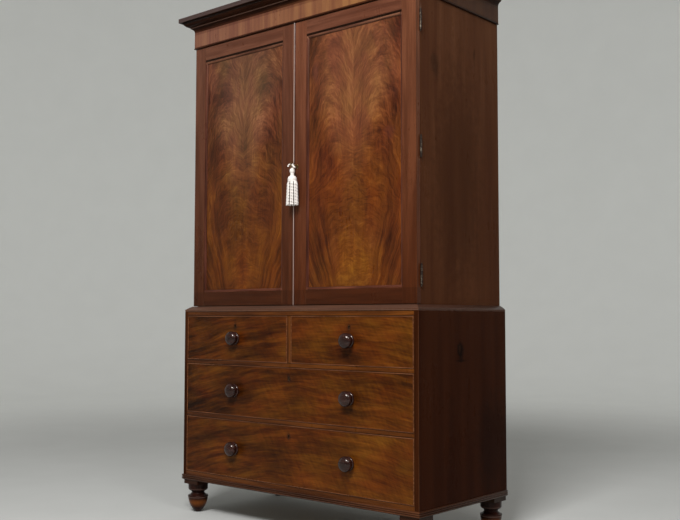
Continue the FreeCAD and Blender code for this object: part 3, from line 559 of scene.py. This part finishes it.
def wavy_mahogany():
    """Drawer fronts: wavy veneer with dirt round the keyholes, dovetailed ends and a bare back."""
    material, shader, place = start_material("wavy_mahogany")
    wood = grained(place, "long", 0.02)
    x, _, z = split(place)
    value = (wood["Fibre"] - 0.5) * 0.2 + use(wave, {"Vector": place})["Light"]
    # Lighter to the right, towards the ends of the bottom drawer and on the left short one.
    bottom_drawer = z < 0.42
    short_left_drawer = (z > 0.65) * (x < 0.0)
    value = x * 0.22 + value
    value = bottom_drawer * spread(abs(x), 0.05, 0.25, 0.0, 0.09) + value
    value = short_left_drawer * 0.07 + value
    colour = tones(value, (0.05, (0.010, 0.0026, 0.0008)), (0.32, (0.035, 0.0085, 0.0013)),
                   (0.55, (0.069, 0.0176, 0.0021)), (0.78, (0.110, 0.0313, 0.0032)),
                   (1.0, (0.160, 0.050, 0.0050)))
    cast = noise(stretch(place, (7, 1, 16), (0.2, 0, 0.9)), 1.0, 3.0, 0.6)
    colour = toned(colour, cast, (0.36, (1.03, 0.84, 0.92)), (0.62, (0.98, 1.10, 0.98)))
    for name in drawer_names:
        low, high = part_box("drawer_%s_lock" % name)
        lock_middle = ((low[X] + high[X]) / 2, low[Y], (low[Z] + high[Z]) / 2)
        colour = stained(colour, place, lock_middle, (0.014, through, 0.023), (0.018, 0.0060, 0.0035), 0.5)
    colour = blend(wood["Pore"] * 0.3, colour, (0.02, 0.007, 0.003))
    plain = tones(wood["Fibre"], (0.3, (0.055, 0.022, 0.010)), (0.7, (0.10, 0.042, 0.020)))
    normal = facing(place)
    colour = blend(abs(normal[X]) > square_on, colour, dovetails(place, wood["Fibre"], plain))
    colour = blend(normal[Y] > square_on, colour, plain)
    finish_material(shader, colour, polished(place, 0.32), wood["Height"], 0.00015, 0.15, warm_gloss)
    return material


def turned_mahogany(name, dark, light, sheen, specular, coat_weight, painted_light_bands=()):
    """Turned wood. The light bands are (low, middle, high, colour) of heights with painted light and
    highlights on the wood.
    """
    material, shader, place = start_material(name)
    wood = grained(place, "long", 0.02)
    colour = tones((wood["Fibre"] - 0.5) * 0.3 + wood["Stripe"], (0.1, dark), (0.9, light))
    z = split(place)[Z]
    for low, middle, high, warm in painted_light_bands:
        colour = blend(spread(z, low, middle) * spread(z, high, middle), colour, warm)
    rough = polished(place, sheen, 0.06)
    finish_material(shader, colour, rough, wood["Fibre"], 0.00005, specular, (1.0, 0.84, 0.76))
    shader.inputs["Coat Weight"].default_value = coat_weight
    shader.inputs["Coat Roughness"].default_value = 0.05
    return material


def bare_wood(name, kind, dark, light, stripe, specular=0.2, boards=None):
    """Unpolished wood. Boards are (axis, start, width) of the boards that it is made up of."""
    material, shader, place = start_material(name)
    laid = lay_grain(place, kind)
    if boards:
        axis, start, width = boards
        count = (split(place)[axis] - start) / width
        index = maths("FLOOR", count)
        within = maths("FRACT", count)
        chance_node = put(place.tree, "ShaderNodeTexWhiteNoise", {"W": index}, noise_dimensions="1D")
        chance = Value(chance_node.outputs["Value"])
        laid = vector_maths("ADD", laid, join(index * 1.7, 0.0, chance * 2.0))
    wood = use(grain, {"Vector": laid, "Stripe width": stripe})
    colour = tones((wood["Fibre"] - 0.5) * 0.5 + wood["Stripe"], (0.1, dark), (0.9, light))
    if boards:
        colour = blend(chance * 0.45, colour, dim(dark, 0.75))
        joint = smaller(within, 1.0 - within) * width
        colour = blend(spread(joint, 0.0004, 0.0030, 0.8, 0.0), colour, dim(dark, 0.2))
    dirt = noise(place, 5.0, 5.0, 0.6)
    colour = blend(spread(dirt, 0.45, 0.75, 0.0, 0.35), colour, dim(dark, 0.55))
    colour = blend(wood["Pore"] * 0.5, colour, dim(dark, 0.4))
    rough = spread(wood["Fibre"], 0.3, 0.7, 0.55, 0.75)
    finish_material(shader, colour, rough, wood["Height"], 0.0004, specular)
    return material


def highlit_bead():
    """Astragal with a pale painted highlight along its crown, strongest near the key's height, its flanks
    dark.
    """
    material, shader, place = start_material("astragal_mahogany")
    wood = grained(place, "upright", 0.01)
    colour = tones(wood["Stripe"], (0.05, (0.030, 0.009, 0.006)), (0.95, (0.07, 0.022, 0.014)))
    x, y, z = split(place)
    # Painted highlight: pale along the crown, broken by noise, strongest near the key's height.
    crown = spread(x, 0.0030, 0.0012) * spread(y, -0.2452, -0.2465)
    painted_highlight = crown * spread(noise(stretch(place, (60, 60, 7)), 1.0, 4.0, 0.6), 0.25, 0.5, 0.55, 1.0)
    near_key = spread(abs(z - 1.42), 0.6, 0.0, 0.55, 1.0)
    colour = blend(painted_highlight * near_key, colour, (0.52, 0.385, 0.325))
    finish_material(shader, colour, 0.22, wood["Height"], 0.0001, 0.5)
    return material


def old_metal(name, bright, tarnish, rough, size=60.0, clean=0.38, black=0.68):
    """Metal with tarnish in patches and fine scratches."""
    material, shader, place = start_material(name)
    stain = noise(place, size, 4.0, 0.65)
    scratch = noise(stretch(place, (900, 900, 60)), 1.0)
    colour = tones(stain, (clean, bright), (black, tarnish))
    shader.inputs["Metallic"].default_value = 1.0
    finish_material(shader, colour, spread(stain, 0.35, 0.7, rough, rough + 0.25), scratch, 0.00005, 0.5)
    return material


def cotton_thread():
    material, shader, place = start_material("cotton")
    colour = tones(noise(place, 260.0, 3.0), (0.3, (0.60, 0.55, 0.51)), (0.7, (0.78, 0.73, 0.69)))
    finish_material(shader, colour, 0.85, noise(place, 1400.0, 3.0, 0.7), 0.0004, 0.1)
    return material


def backdrop_paper():
    """Grey round the press, paler towards the wall."""
    material, shader, place = start_material("backdrop_paper")
    fleck = noise(place, 3.0, 3.0)
    far = vector_maths("LENGTH", place, output="Value")
    near_paper = tones(fleck, (0.3, (0.50, 0.505, 0.49)), (0.7, (0.52, 0.525, 0.51)))
    far_paper = tones(fleck, (0.3, (0.87, 0.88, 0.86)), (0.7, (0.89, 0.90, 0.88)))
    finish_material(shader, blend(spread(far, 2.6, 6.5), near_paper, far_paper), 0.9, specular=0.1)
    return material


# ---- Finishes of the nodes -------------------------------------------------------------------
finishes = {}


def give(finish, *names):
    """Notes the finish of the nodes named."""
    for name in names:
        finishes[name] = finish


# Door frames: darker bottom rail, painted shade along the foot of the door over the gap above the waist
# moulding, lighter meeting and outer stiles of the right door, lighter towards the top as painted light
# falling from above and greyer there in tone, and the painted shade on the top rail over each panel.
rail_shade_height = 0.0085
give(mahogany("door_mahogany", "door", (0.052, 0.0138, 0.0050), (0.068, 0.0190, 0.0069),
              (0.088, 0.0256, 0.0095), stripe=0.018,
              zones=[(Z, 0, panel_foot - 0.0001, (0.74, 0.70, 0.68)), (Z, 0, 0.8812, (0.25, 0.22, 0.22)),
                     (X, 0.0, 0.0640, (1.25, 1.20, 1.10)), (X, 0.5365, 0.62, (1.18, 1.20, 1.08))],
              tone_and_light_gradients=[(Z, 0.95, (0.80, 0.70, 0.60), 1.95, (1.33, 1.64, 2.38)),
                     (X, -0.5, (1.0, 1.06, 1.14), 0.4, (0.92, 0.88, 0.88))],
              rail_shadow=(panel_head, panel_head + rail_shade_height, (0.07, 0.05, 0.04))),
     "door_left_frame", "door_right_frame")
give(flame_mahogany(), "door_left_panel", "door_right_panel")

# Mouldings round the panels: lighter along the top, and lighter along the bottom as a painted highlight where
# the moulding faces up to the light.
give(mahogany("door_moulding_mahogany", "door_moulding", (0.028, 0.0075, 0.0050), (0.050, 0.0140, 0.0095),
              (0.085, 0.026, 0.0160), stripe=0.012,
              zones=[(Z, panel_head - moulding_reach, 2.0, (1.9, 2.6, 2.3)),
                     (Z, 0.9, panel_foot + moulding_reach, (1.45, 1.5, 1.25))]),
     "door_left_moulding", "door_right_moulding")

# Base frame, waist moulding and frieze bead: painted highlights on the three reeds' crests and on the waist's
# sloping face and lower edge, and the frieze bead painted dark as the shade line over the doors.
reed_crests = (0.1425, 0.1495, 0.1565)
half_crest = 0.0008
give(mahogany("moulding_mahogany", "mitred", (0.028, 0.0080, 0.0034), (0.052, 0.0155, 0.0062),
              (0.085, 0.0275, 0.0100), stripe=0.02, side_tone=(0.50, 0.45, 0.45),
              zones=[(Z, 0, 0.1385, (0.38, 0.34, 0.46)), (Z, 2.0, 2.02, (0.42, 0.30, 0.26))],
              bands=[(crest - half_crest, crest + half_crest, (0.110, 0.046, 0.024), 0.6)
                     for crest in reed_crests]
              + [(0.856, 0.88, (0.085, 0.046, 0.032), 0.55), (0.856, 0.8590, (0.170, 0.098, 0.070), 0.7)]),
     "base_frame", "waist_moulding", "frieze_bead")

# Cornice: very dark, with painted shade in the quirk under the fascia, a lighter foot and fascia, and a
# painted highlight on the fillet.
give(mahogany("cornice_mahogany", "mitred", (0.012, 0.0034, 0.0017), (0.022, 0.0064, 0.0030),
              (0.036, 0.0115, 0.0050), stripe=0.02, sheen=0.4, specular=0.06, side_tone=(0.60, 0.55, 0.55),
              zones=[(Z, 2.1245, 2.1285, (0.25, 0.20, 0.20)), (Z, 2.085, 2.092, (1.8, 1.9, 2.0))],
              bands=[(2.1287, 2.2, (0.058, 0.040, 0.037), 0.8),
                     (2.1037, 2.1083, (0.095, 0.052, 0.038), 0.95)]),
     "cornice")

# Frieze: painted shade under the cornice and along its foot, where the gap over the doors lies in shadow.
give(mahogany("crossbanded_mahogany", "upright", (0.118, 0.043, 0.0245), (0.150, 0.060, 0.0305),
              (0.190, 0.083, 0.0380), stripe=0.034, side_tone=(0.27, 0.23, 0.25),
              zones=[(Z, 2.074, 2.09, (0.72, 0.66, 0.66)), (Z, 2.0, 2.0190, (0.20, 0.14, 0.12))],
              tone_and_light_gradients=[(X, -0.5, (0.98, 1.0, 1.22), 0.35, (1.02, 1.02, 0.80))]),
     "frieze")

# Rails of the chest, with painted shade along every drawer opening and under the waist moulding.
give(mahogany("rail_mahogany", "rails", (0.034, 0.0092, 0.0018), (0.062, 0.0172, 0.0028),
              (0.102, 0.031, 0.0045), stripe=0.02,
              tone_and_light_gradients=[(X, -0.45, (0.92, 0.88, 1.25), 0.45, (1.26, 1.20, 1.0))],
              shaded_edges=(0.178, 0.411, 0.428, 0.635, 0.652, 0.837, 0.8555)),
     "chest_rails")

# Sides of both cases: the chest's darker, with a knot and stains on the right side, and lighter and greyer
# towards the top as painted light falling from above.
chest_x, cupboard_x = 0.625, 0.600
give(mahogany("side_mahogany", "upright", (0.049, 0.0138, 0.0050), (0.061, 0.0182, 0.0064),
              (0.076, 0.0238, 0.0086), stripe=0.07, specular=0.02, zones=[(Z, 0, 0.857, (0.46, 0.36, 0.32))],
              tone_and_light_gradients=[(Z, 0.15, (0.80, 0.76, 0.68), 2.0, (1.16, 1.46, 1.85))],
              spots=[((chest_x, -0.008, 0.709), (through, 0.026, 0.044), (0.0022, 0.0010, 0.0008), 0.95),
                     ((chest_x, -0.012, 0.714), (through, 0.009, 0.020), (0.020, 0.0075, 0.0035), 0.9),
                     ((chest_x, -0.008, 0.672), (through, 0.050, 0.006), (0.0030, 0.0012, 0.0010), 0.7),
                     ((cupboard_x, 0.138, 1.846), (through, 0.010, 0.030), (0.010, 0.005, 0.003), 0.4),
                     ((cupboard_x, -0.13, 1.76), (through, 0.030, 0.060), (0.022, 0.010, 0.005), 0.55),
                     ((cupboard_x, -0.214, 1.936), (through, 0.008, 0.040), (0.16, 0.10, 0.075), 0.35),
                     ((cupboard_x, 0.02, 1.35), (through, 0.20, 0.55), (0.030, 0.010, 0.0040), 0.5),
                     ((chest_x, 0.22, 0.35), (through, 0.16, 0.22), (0.008, 0.003, 0.002), 0.5)],
              edge=(-0.2685, (0.020, 0.0052, 0.0017), (0.056, 0.0158, 0.0048))),
     "chest_sides", "cupboard_sides")

# Drawers, trays, locks and hinges; the cock beads are a lighter mahogany, as painted highlight on their
# rounded faces.
brass = old_metal("aged_brass", (0.46, 0.33, 0.15), (0.16, 0.10, 0.05), 0.30)
hinge_brass = old_metal("blackened_brass", (0.20, 0.165, 0.125), (0.034, 0.024, 0.019), 0.46,
                        size=90.0, clean=0.36, black=0.50)
lock_brass = old_metal("tarnished_brass", (0.12, 0.08, 0.045), (0.030, 0.019, 0.012), 0.40)
dark_knob = turned_mahogany("knob_mahogany", (0.012, 0.0040, 0.0030), (0.030, 0.0098, 0.0072),
                            sheen=0.15, specular=0.28, coat_weight=0.28)
oak = bare_wood("waxed_oak", "box", (0.185, 0.102, 0.043), (0.345, 0.212, 0.100), stripe=0.014, specular=0.3)
drawer_finishes = {
    "front": wavy_mahogany(), "knobs": dark_knob, "box": oak, "lock": lock_brass,
    "bead": mahogany("cock_bead_mahogany", "long", (0.070, 0.022, 0.008), (0.115, 0.040, 0.015),
                     (0.175, 0.066, 0.027), stripe=0.008, sheen=0.25, specular=0.35)}
for part, finish in drawer_finishes.items():
    give(finish, *["drawer_%s_%s" % (name, part) for name in drawer_names])
give(oak, *["tray_%d" % number for number in (1, 2, 3, 4)])
give(brass, "key", "door_escutcheon", "door_lock", "bolt_top", "bolt_bottom", "bolt_plates")
give(hinge_brass, "hinge_fixed_leaves", "door_left_hinges", "door_right_hinges")
give(old_metal("old_steel", (0.36, 0.35, 0.33), (0.14, 0.11, 0.09), 0.35), "lock_bolt")

# Feet: painted light on the bulb, and painted highlights on the ring and on the cup's widest part.
give(turned_mahogany("foot_mahogany", (0.009, 0.0030, 0.0022), (0.024, 0.0075, 0.0050),
                     sheen=0.30, specular=0.12, coat_weight=0.02,
                     painted_light_bands=[(0.016, 0.042, 0.062, (0.130, 0.0365, 0.0060)),
                            (0.0605, 0.0635, 0.0665, (0.100, 0.058, 0.046)),
                            (0.0940, 0.0970, 0.1000, (0.080, 0.044, 0.035))]),
     "feet")
give(highlit_bead(), "astragal")
cotton = cotton_thread()
give(cotton, "tassel")

# Hidden boards.
pine = (0.23, 0.130, 0.060), (0.42, 0.275, 0.145)
dusty_pine = (0.15, 0.080, 0.036), (0.30, 0.185, 0.095)
give(bare_wood("pine_boards", "long", *pine, 0.03, boards=(Y, -0.2095, 0.17)),
     "chest_bottom", "chest_top", "dust_boards", "cupboard_top", "cupboard_bottom")
give(bare_wood("pine_runners", "deep", *pine, 0.03), "tray_runners", "drawer_runners")
give(bare_wood("pine_chest_back", "long", *dusty_pine, 0.03, boards=(Z, 0.16, 0.23213)), "chest_back")
give(bare_wood("pine_cupboard_back", "upright", *dusty_pine, 0.03, boards=(X, -0.59, 0.19673)),
     "cupboard_back")

# Rounded edges on frames, sides and mouldings, in a lighter mahogany that is partly wear from use and partly
# painted highlight. Widths are in millimetres.
worn_and_highlit = mahogany("worn_and_highlit_mahogany", "upright", (0.044, 0.0140, 0.0060), (0.068, 0.0235, 0.0100),
                (0.100, 0.0370, 0.0160), stripe=0.012, sheen=0.28, side_tone=(0.6, 0.5, 0.5))
arrises = {"door_left_frame": 0.9, "door_right_frame": 0.9, "chest_sides": 0.9, "cupboard_sides": 0.9,
           "cornice": 0.6, "waist_moulding": 0.8, "base_frame": 0.8}
for name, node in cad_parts.items():
    node.data.materials.clear()
    node.data.materials.append(finishes[name])
    if name in arrises:
        node.data.materials.append(worn_and_highlit)
        weld = node.modifiers.new("weld", "WELD")
        weld.merge_threshold = 1e-5
        rounding = node.modifiers.new("rounding", "BEVEL")
        rounding.width = arrises[name] / 1000
        rounding.segments = 2
        rounding.limit_method = "ANGLE"
        rounding.angle_limit = math.radians(40)
        rounding.material = 1


# ---- Small tools for pieces ------------------------------------------------------------------
def choose(*pieces):
    """Selects these pieces only, the first of them active."""
    bpy.ops.object.select_all(action="DESELECT")
    for piece in pieces:
        piece.select_set(True)
    bpy.context.view_layer.objects.active = pieces[0]


def edit(piece):
    """Takes one piece into edit mode with everything on it chosen."""
    choose(piece)
    bpy.ops.object.mode_set(mode="EDIT")
    bpy.ops.mesh.select_all(action="SELECT")


def twin_of(piece, name, turn=0.0, size=(1, 1, 1), place=(0, 0, 0), tilt=0.0):
    """Copy with its own mesh, sized, turned about the upright axis, tilted about X and placed."""
    twin = piece.copy()
    twin.data = piece.data.copy()
    twin.name = name
    bpy.context.scene.collection.objects.link(twin)
    turned = Matrix.Rotation(tilt, 4, "X") @ Matrix.Rotation(turn, 4, "Z")
    twin.matrix_world = Matrix.Translation(place) @ turned @ Matrix.Diagonal((*size, 1))
    choose(twin)
    bpy.ops.object.transform_apply(location=True, rotation=True, scale=True)
    return twin


def gather(pieces, name):
    """Joins pieces into one."""
    choose(*pieces)
    bpy.ops.object.join()
    pieces[0].name = name
    return pieces[0]


def cover(piece, finish):
    """Gives a piece its one finish."""
    piece.data.materials.clear()
    piece.data.materials.append(finish)


def turn_profile(name, points, steps):
    """Mesh turned about the upright axis from (radius, height) points."""
    bpy.ops.object.select_all(action="DESELECT")
    bpy.ops.mesh.primitive_plane_add(size=0.001, location=(0, 0, 0))
    piece = bpy.context.object
    piece.name = name
    bpy.ops.object.mode_set(mode="EDIT")
    bpy.ops.mesh.merge(type="CENTER")
    bpy.ops.transform.translate(value=(points[0][0], 0, points[0][1]))
    for (radius0, height0), (radius1, height1) in zip(points, points[1:]):
        step = (radius1 - radius0, 0, height1 - height0)
        bpy.ops.mesh.extrude_region_move(TRANSFORM_OT_translate={"value": step})
    bpy.ops.mesh.select_all(action="SELECT")
    bpy.ops.mesh.spin(steps=steps, angle=math.tau, center=(0, 0, 0), axis=(0, 0, 1))
    bpy.ops.mesh.select_all(action="SELECT")
    bpy.ops.mesh.remove_doubles(threshold=1e-5)
    bpy.ops.mesh.normals_make_consistent(inside=False)
    bpy.ops.object.mode_set(mode="OBJECT")
    return piece


# ---- Tassel ----------------------------------------------------------------------------------
def twisted_strand(name, route, half_width, half_depth, turn):
    """Two-ply cord: an ellipse extruded down a route of (out, height) points and turned at each step."""
    bpy.ops.object.select_all(action="DESELECT")
    bpy.ops.mesh.primitive_circle_add(vertices=10, radius=half_width, fill_type="NGON", location=(0, 0, 0))
    piece = bpy.context.object
    piece.name = name
    bpy.ops.object.mode_set(mode="EDIT")
    bpy.ops.mesh.select_all(action="SELECT")
    bpy.ops.transform.resize(value=(1, half_depth / half_width, 1), center_override=(0, 0, 0))
    bpy.ops.transform.translate(value=(route[0][0], 0, route[0][1]))
    for (out0, high0), (out1, high1) in zip(route, route[1:]):
        bpy.ops.mesh.extrude_region_move(TRANSFORM_OT_translate={"value": (out1 - out0, 0, high1 - high0)})
        bpy.ops.transform.rotate(value=turn, orient_axis="Z", center_override=(out1, 0, high1))
    foot = (route[-1][0], 0, route[-1][1])
    bpy.ops.transform.resize(value=(1.25, 1.25, 1), center_override=foot)
    bpy.ops.mesh.extrude_region_move(TRANSFORM_OT_translate={"value": (0, 0, -0.0012)})
    bpy.ops.transform.resize(value=(0.7, 0.7, 1), center_override=foot)
    bpy.ops.mesh.select_all(action="SELECT")
    bpy.ops.mesh.normals_make_consistent(inside=False)
    bpy.ops.object.mode_set(mode="OBJECT")
    bpy.ops.object.shade_smooth_by_angle(angle=math.radians(70))
    return piece


def cord_piece(name, points, radius, closed=False):
    """Round cord along a smooth line of (x, y, z, thickness) points, made a mesh."""
    line = bpy.data.curves.new(name, "CURVE")
    line.dimensions = "3D"
    spline = line.splines.new("NURBS")
    spline.points.add(len(points) - 1)
    for knot, (x, y, z, thick) in zip(spline.points, points):
        knot.co = (x, y, z, 1.0)
        knot.radius = thick
    spline.order_u = 4
    spline.use_endpoint_u = not closed
    spline.use_cyclic_u = closed
    line.bevel_depth = radius
    line.bevel_resolution = 3
    line.resolution_u = 6
    line.use_fill_caps = True
    holder = bpy.data.objects.new(name, line)
    bpy.context.scene.collection.objects.link(holder)
    choose(holder)
    bpy.ops.object.convert(target="MESH")
    bpy.ops.object.shade_smooth()
    return bpy.context.object


def tassel_skirt():
    """Two rings of hanging strands, pressed flat from front to back."""
    outer_count, inner_count, steps = 15, 7, 35
    collar, shoulder, step_down = 1.3690, 1.3570, 0.0025
    shoulder_out, flare = 0.0200, 0.0042
    drop = [(0.0120, collar), (0.0160, 1.3660), (0.0186, 1.3620), (shoulder_out, shoulder)]
    drop += [(shoulder_out + flare * step / steps, shoulder - step_down * step) for step in range(1, steps)]
    first = twisted_strand("strand", drop, 0.0039, 0.0025, math.radians(38))
    strands = [first]
    for index in range(1, outer_count):
        length = 1.0 + 0.0022 * math.sin(index * 2.4)
        out = 1.0 + 0.03 * math.sin(index * 4.1)
        turn = math.tau * index / outer_count + 0.06 * math.sin(index * 3.3)
        place = (0, 0, collar * (1 - length))
        strands.append(twin_of(first, "strand_%d" % index, turn, (out, out, length), place))
    length = 0.995
    for index in range(inner_count):
        turn = math.tau * (index + 0.4) / inner_count
        place = (0, 0, collar * (1 - length))
        strands.append(twin_of(first, "inner_strand_%d" % index, turn, (0.55, 0.55, length), place))
    skirt = gather(strands, "skirt")
    skirt.scale = (1, 0.80, 1)
    bpy.ops.object.transform_apply(location=True, rotation=True, scale=True)
    return skirt


def tassel_head():
    """Round top, a neck bound with three rings, and a bell with a bead at its foot."""
    profile = [(0.0001, 1.4166), (0.0050, 1.4162), (0.0086, 1.4138), (0.0103, 1.4098), (0.0106, 1.4056),
               (0.0097, 1.4014), (0.0078, 1.3982), (0.0070, 1.3962), (0.0078, 1.3945), (0.0070, 1.3926),
               (0.0078, 1.3908), (0.0072, 1.3888), (0.0098, 1.3868), (0.0138, 1.3842), (0.0168, 1.3800),
               (0.0180, 1.3752), (0.0182, 1.3708), (0.0172, 1.3684), (0.0182, 1.3668), (0.0178, 1.3648),
               (0.0120, 1.3640), (0.0001, 1.3636)]
    head = turn_profile("tassel_head", profile, 36)
    bpy.ops.object.shade_smooth_by_angle(angle=math.radians(50))
    return head


def make_tassel():
    """Cotton tassel that hangs where the plain one does."""
    ring = [(math.cos(angle), math.sin(angle)) for angle in (math.tau * step / 8 for step in range(8))]
    loop = [(0.005 * s, 0, 1.4209 + 0.005 * c, 1.0) for c, s in ring]
    tie = [(-0.0165, -0.0070, 1.4245, 1.25), (-0.0145, -0.0072, 1.4285, 1.1), (-0.0110, -0.0068, 1.4335, 0.9),
           (-0.0058, -0.0040, 1.4325, 0.9), (0.0, 0.0, 1.4270, 0.85), (0.0050, -0.0030, 1.4290, 0.9),
           (0.0100, -0.0075, 1.4265, 1.0), (0.0165, -0.0100, 1.4215, 1.1), (0.0245, -0.0110, 1.4165, 1.35)]
    knot = [(0.0052, 0.0044 * c - 0.002, 1.4285 + 0.0048 * s, 1.0) for c, s in ring]
    wrap = [(0.0040 * c, 0.0040 * s, 1.4163, 1.0) for c, s in ring]
    made = gather([tassel_skirt(), tassel_head(), cord_piece("tassel_loop", loop, 0.0018, True),
                   cord_piece("tassel_tie", tie, 0.0027), cord_piece("tassel_knot", knot, 0.0020, True),
                   cord_piece("tassel_wrap", wrap, 0.0014, True)], "tassel_cords")
    low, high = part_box("tassel")
    made.location = ((low[X] + high[X]) / 2, (low[Y] + high[Y]) / 2, 0)
    bpy.ops.object.transform_apply(location=True, rotation=True, scale=True)
    cover(made, cotton)
    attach(made, "hanging_tassel")
    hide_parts("tassel")


make_tassel()

# ---- Knobs of the drawers --------------------------------------------------------------------
knob_radius = 0.0295
knob_height = 0.0410


def make_knob():
    """Turned knob facing up: spigot, round collar, deep groove and a domed head, seat at height 0."""
    profile = [(0.0001, -0.0130), (0.0080, -0.0130), (0.0080, 0.0), (0.0240, 0.0), (0.0260, 0.0014),
               (0.0271, 0.0040), (0.0268, 0.0068), (0.0250, 0.0090), (0.0215, 0.0104), (0.0180, 0.0112),
               (0.0164, 0.0125), (0.0172, 0.0138), (0.0225, 0.0146), (0.0268, 0.0160), (0.0289, 0.0184),
               (knob_radius, 0.0214), (0.0292, 0.0248), (0.0281, 0.0284), (0.0260, 0.0319), (0.0230, 0.0350),
               (0.0191, 0.0375), (0.0145, 0.0393), (0.0090, 0.0404), (0.0040, 0.0409), (0.0001, knob_height)]
    knob = turn_profile("turned_knob", profile, 40)
    bpy.ops.object.shade_smooth_by_angle(angle=math.radians(50))
    return knob


def set_knobs(first, drawer):
    """Knobs of a drawer, where its own stand."""
    low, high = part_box(drawer + "_knobs")
    seat_y = low[Y] + knob_height
    seat_z = (low[Z] + high[Z]) / 2
    middles = sorted({round(low[X] + knob_radius, 4), round(high[X] - knob_radius, 4)})
    heads = []
    for index, x in enumerate(middles):
        place = (x, seat_y, seat_z)
        name = "%s_turned_%d" % (drawer, index)
        heads.append(twin_of(first, name, 0.7 * index, place=place, tilt=math.pi / 2))
    made = gather(heads, drawer + "_turned_knobs")
    cover(made, dark_knob)
    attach(made, drawer)
    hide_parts(drawer + "_knobs")


pattern_knob = make_knob()
for name in drawer_names:
    set_knobs(pattern_knob, "drawer_" + name)
bpy.data.objects.remove(pattern_knob)


# ---- Screws ----------------------------------------------------------------------------------
def make_screw(radius):
    """Countersunk head facing up at the origin, with its slot pushed in."""
    bpy.ops.object.select_all(action="DESELECT")
    bpy.ops.mesh.primitive_cylinder_add(vertices=20, radius=radius, depth=0.0006, location=(0, 0, -0.00025))
    piece = bpy.context.object
    edit(piece)
    bpy.ops.mesh.select_mode(type="FACE")
    for edge_x in (-0.1 * radius, 0.1 * radius):
        bpy.ops.mesh.select_all(action="SELECT")
        bpy.ops.mesh.bisect(plane_co=(edge_x, 0, 0), plane_no=(1, 0, 0))
    bpy.ops.mesh.select_all(action="DESELECT")
    bpy.ops.object.mode_set(mode="OBJECT")
    for face in piece.data.polygons:
        face.select = abs(face.center.x) < 0.09 * radius and face.normal.z > 0.9
    bpy.ops.object.mode_set(mode="EDIT")
    bpy.ops.mesh.extrude_region_move(TRANSFORM_OT_translate={"value": (0, 0, -0.0003)})
    bpy.ops.mesh.select_mode(type="VERT")
    bpy.ops.object.mode_set(mode="OBJECT")
    return piece


def set_screws(first, name, places, facing_way, finish, body):
    """Copies of a screw at each place, facing front (1) or back (-1), each slot at its own angle."""
    heads = []
    for index, place in enumerate(places):
        turn = 1.3 + 2.1 * index
        tilt = facing_way * math.pi / 2
        heads.append(twin_of(first, "%s_%d" % (name, index), turn, place=place, tilt=tilt))
    made = gather(heads, name)
    cover(made, finish)
    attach(made, body)


def grid(xs, y, zs):
    """Places at every x and z."""
    return [(x, y, z) for x in xs for z in zs]


hinge_screw = make_screw(0.0031)
small_screw = make_screw(0.0018)
leaf_x = 0.5905
fixed_leaf_y, moving_leaf_y, bolt_plate_y, lock_y = -0.2209, -0.2211, -0.2199, -0.2215
hinge_middles = (0.9825, 1.444, 1.9055)
screw_pitch = 0.027
hinge_rows = [middle + step for middle in hinge_middles for step in (-screw_pitch, 0.0, screw_pitch)]
set_screws(hinge_screw, "fixed_hinge_screws", grid((-leaf_x, leaf_x), fixed_leaf_y, hinge_rows), 1,
           hinge_brass, "carcase")
set_screws(hinge_screw, "right_hinge_screws", grid((leaf_x,), moving_leaf_y, hinge_rows), -1,
           hinge_brass, "right_door")
set_screws(hinge_screw, "left_hinge_screws", grid((-leaf_x,), moving_leaf_y, hinge_rows), -1,
           hinge_brass, "left_door")
set_screws(small_screw, "bolt_plate_screws", grid((-0.0383, -0.0233), bolt_plate_y, (0.9148, 1.9532)), -1,
           brass, "left_door")
set_screws(small_screw, "lock_screws", grid((0.0058, 0.0398), lock_y, (1.4055, 1.4555)), -1,
           brass, "right_door")
for pattern in (hinge_screw, small_screw):
    bpy.data.objects.remove(pattern)

# ---- Floor, backdrop and light ---------------------------------------------------------------
flat_radius, bend_radius, wall_top = 6.5, 2.5, 8.0
bend = [(flat_radius + bend_radius * math.sin(angle), bend_radius - bend_radius * math.cos(angle))
        for angle in (math.radians(degrees) for degrees in range(0, 91, 10))]
backdrop = turn_profile("backdrop", [(0, 0), (3, 0)] + bend + [(flat_radius + bend_radius, wall_top)], 96)
bpy.ops.object.shade_smooth_by_angle(angle=math.radians(30))
cover(backdrop, backdrop_paper())

world = bpy.data.worlds.new("studio")
bpy.context.scene.world = world
world.use_nodes = True
background = world.node_tree.nodes["Background"]
background.inputs["Color"].default_value = (1.0, 0.985, 0.955, 1.0)
background.inputs["Strength"].default_value = 0.32


def softbox(name, place, target, width, height, power):
    """White area light turned towards a point."""
    lamp = bpy.data.lights.new(name, "AREA")
    lamp.shape = "RECTANGLE"
    lamp.size = width
    lamp.size_y = height
    lamp.energy = power
    holder = bpy.data.objects.new(name, lamp)
    bpy.context.scene.collection.objects.link(holder)
    holder.location = place
    holder.rotation_mode = "QUATERNION"
    holder.rotation_quaternion = (Vector(target) - Vector(place)).to_track_quat("-Z", "Y")


softbox("key_front", (1.5, -3.1, 3.9), (0.1, 0, 1.4), 1.6, 1.3, 230.0)
softbox("window_right", (3.2, -1.5, 3.3), (0.5, 0, 1.6), 0.9, 1.2, 30.0)
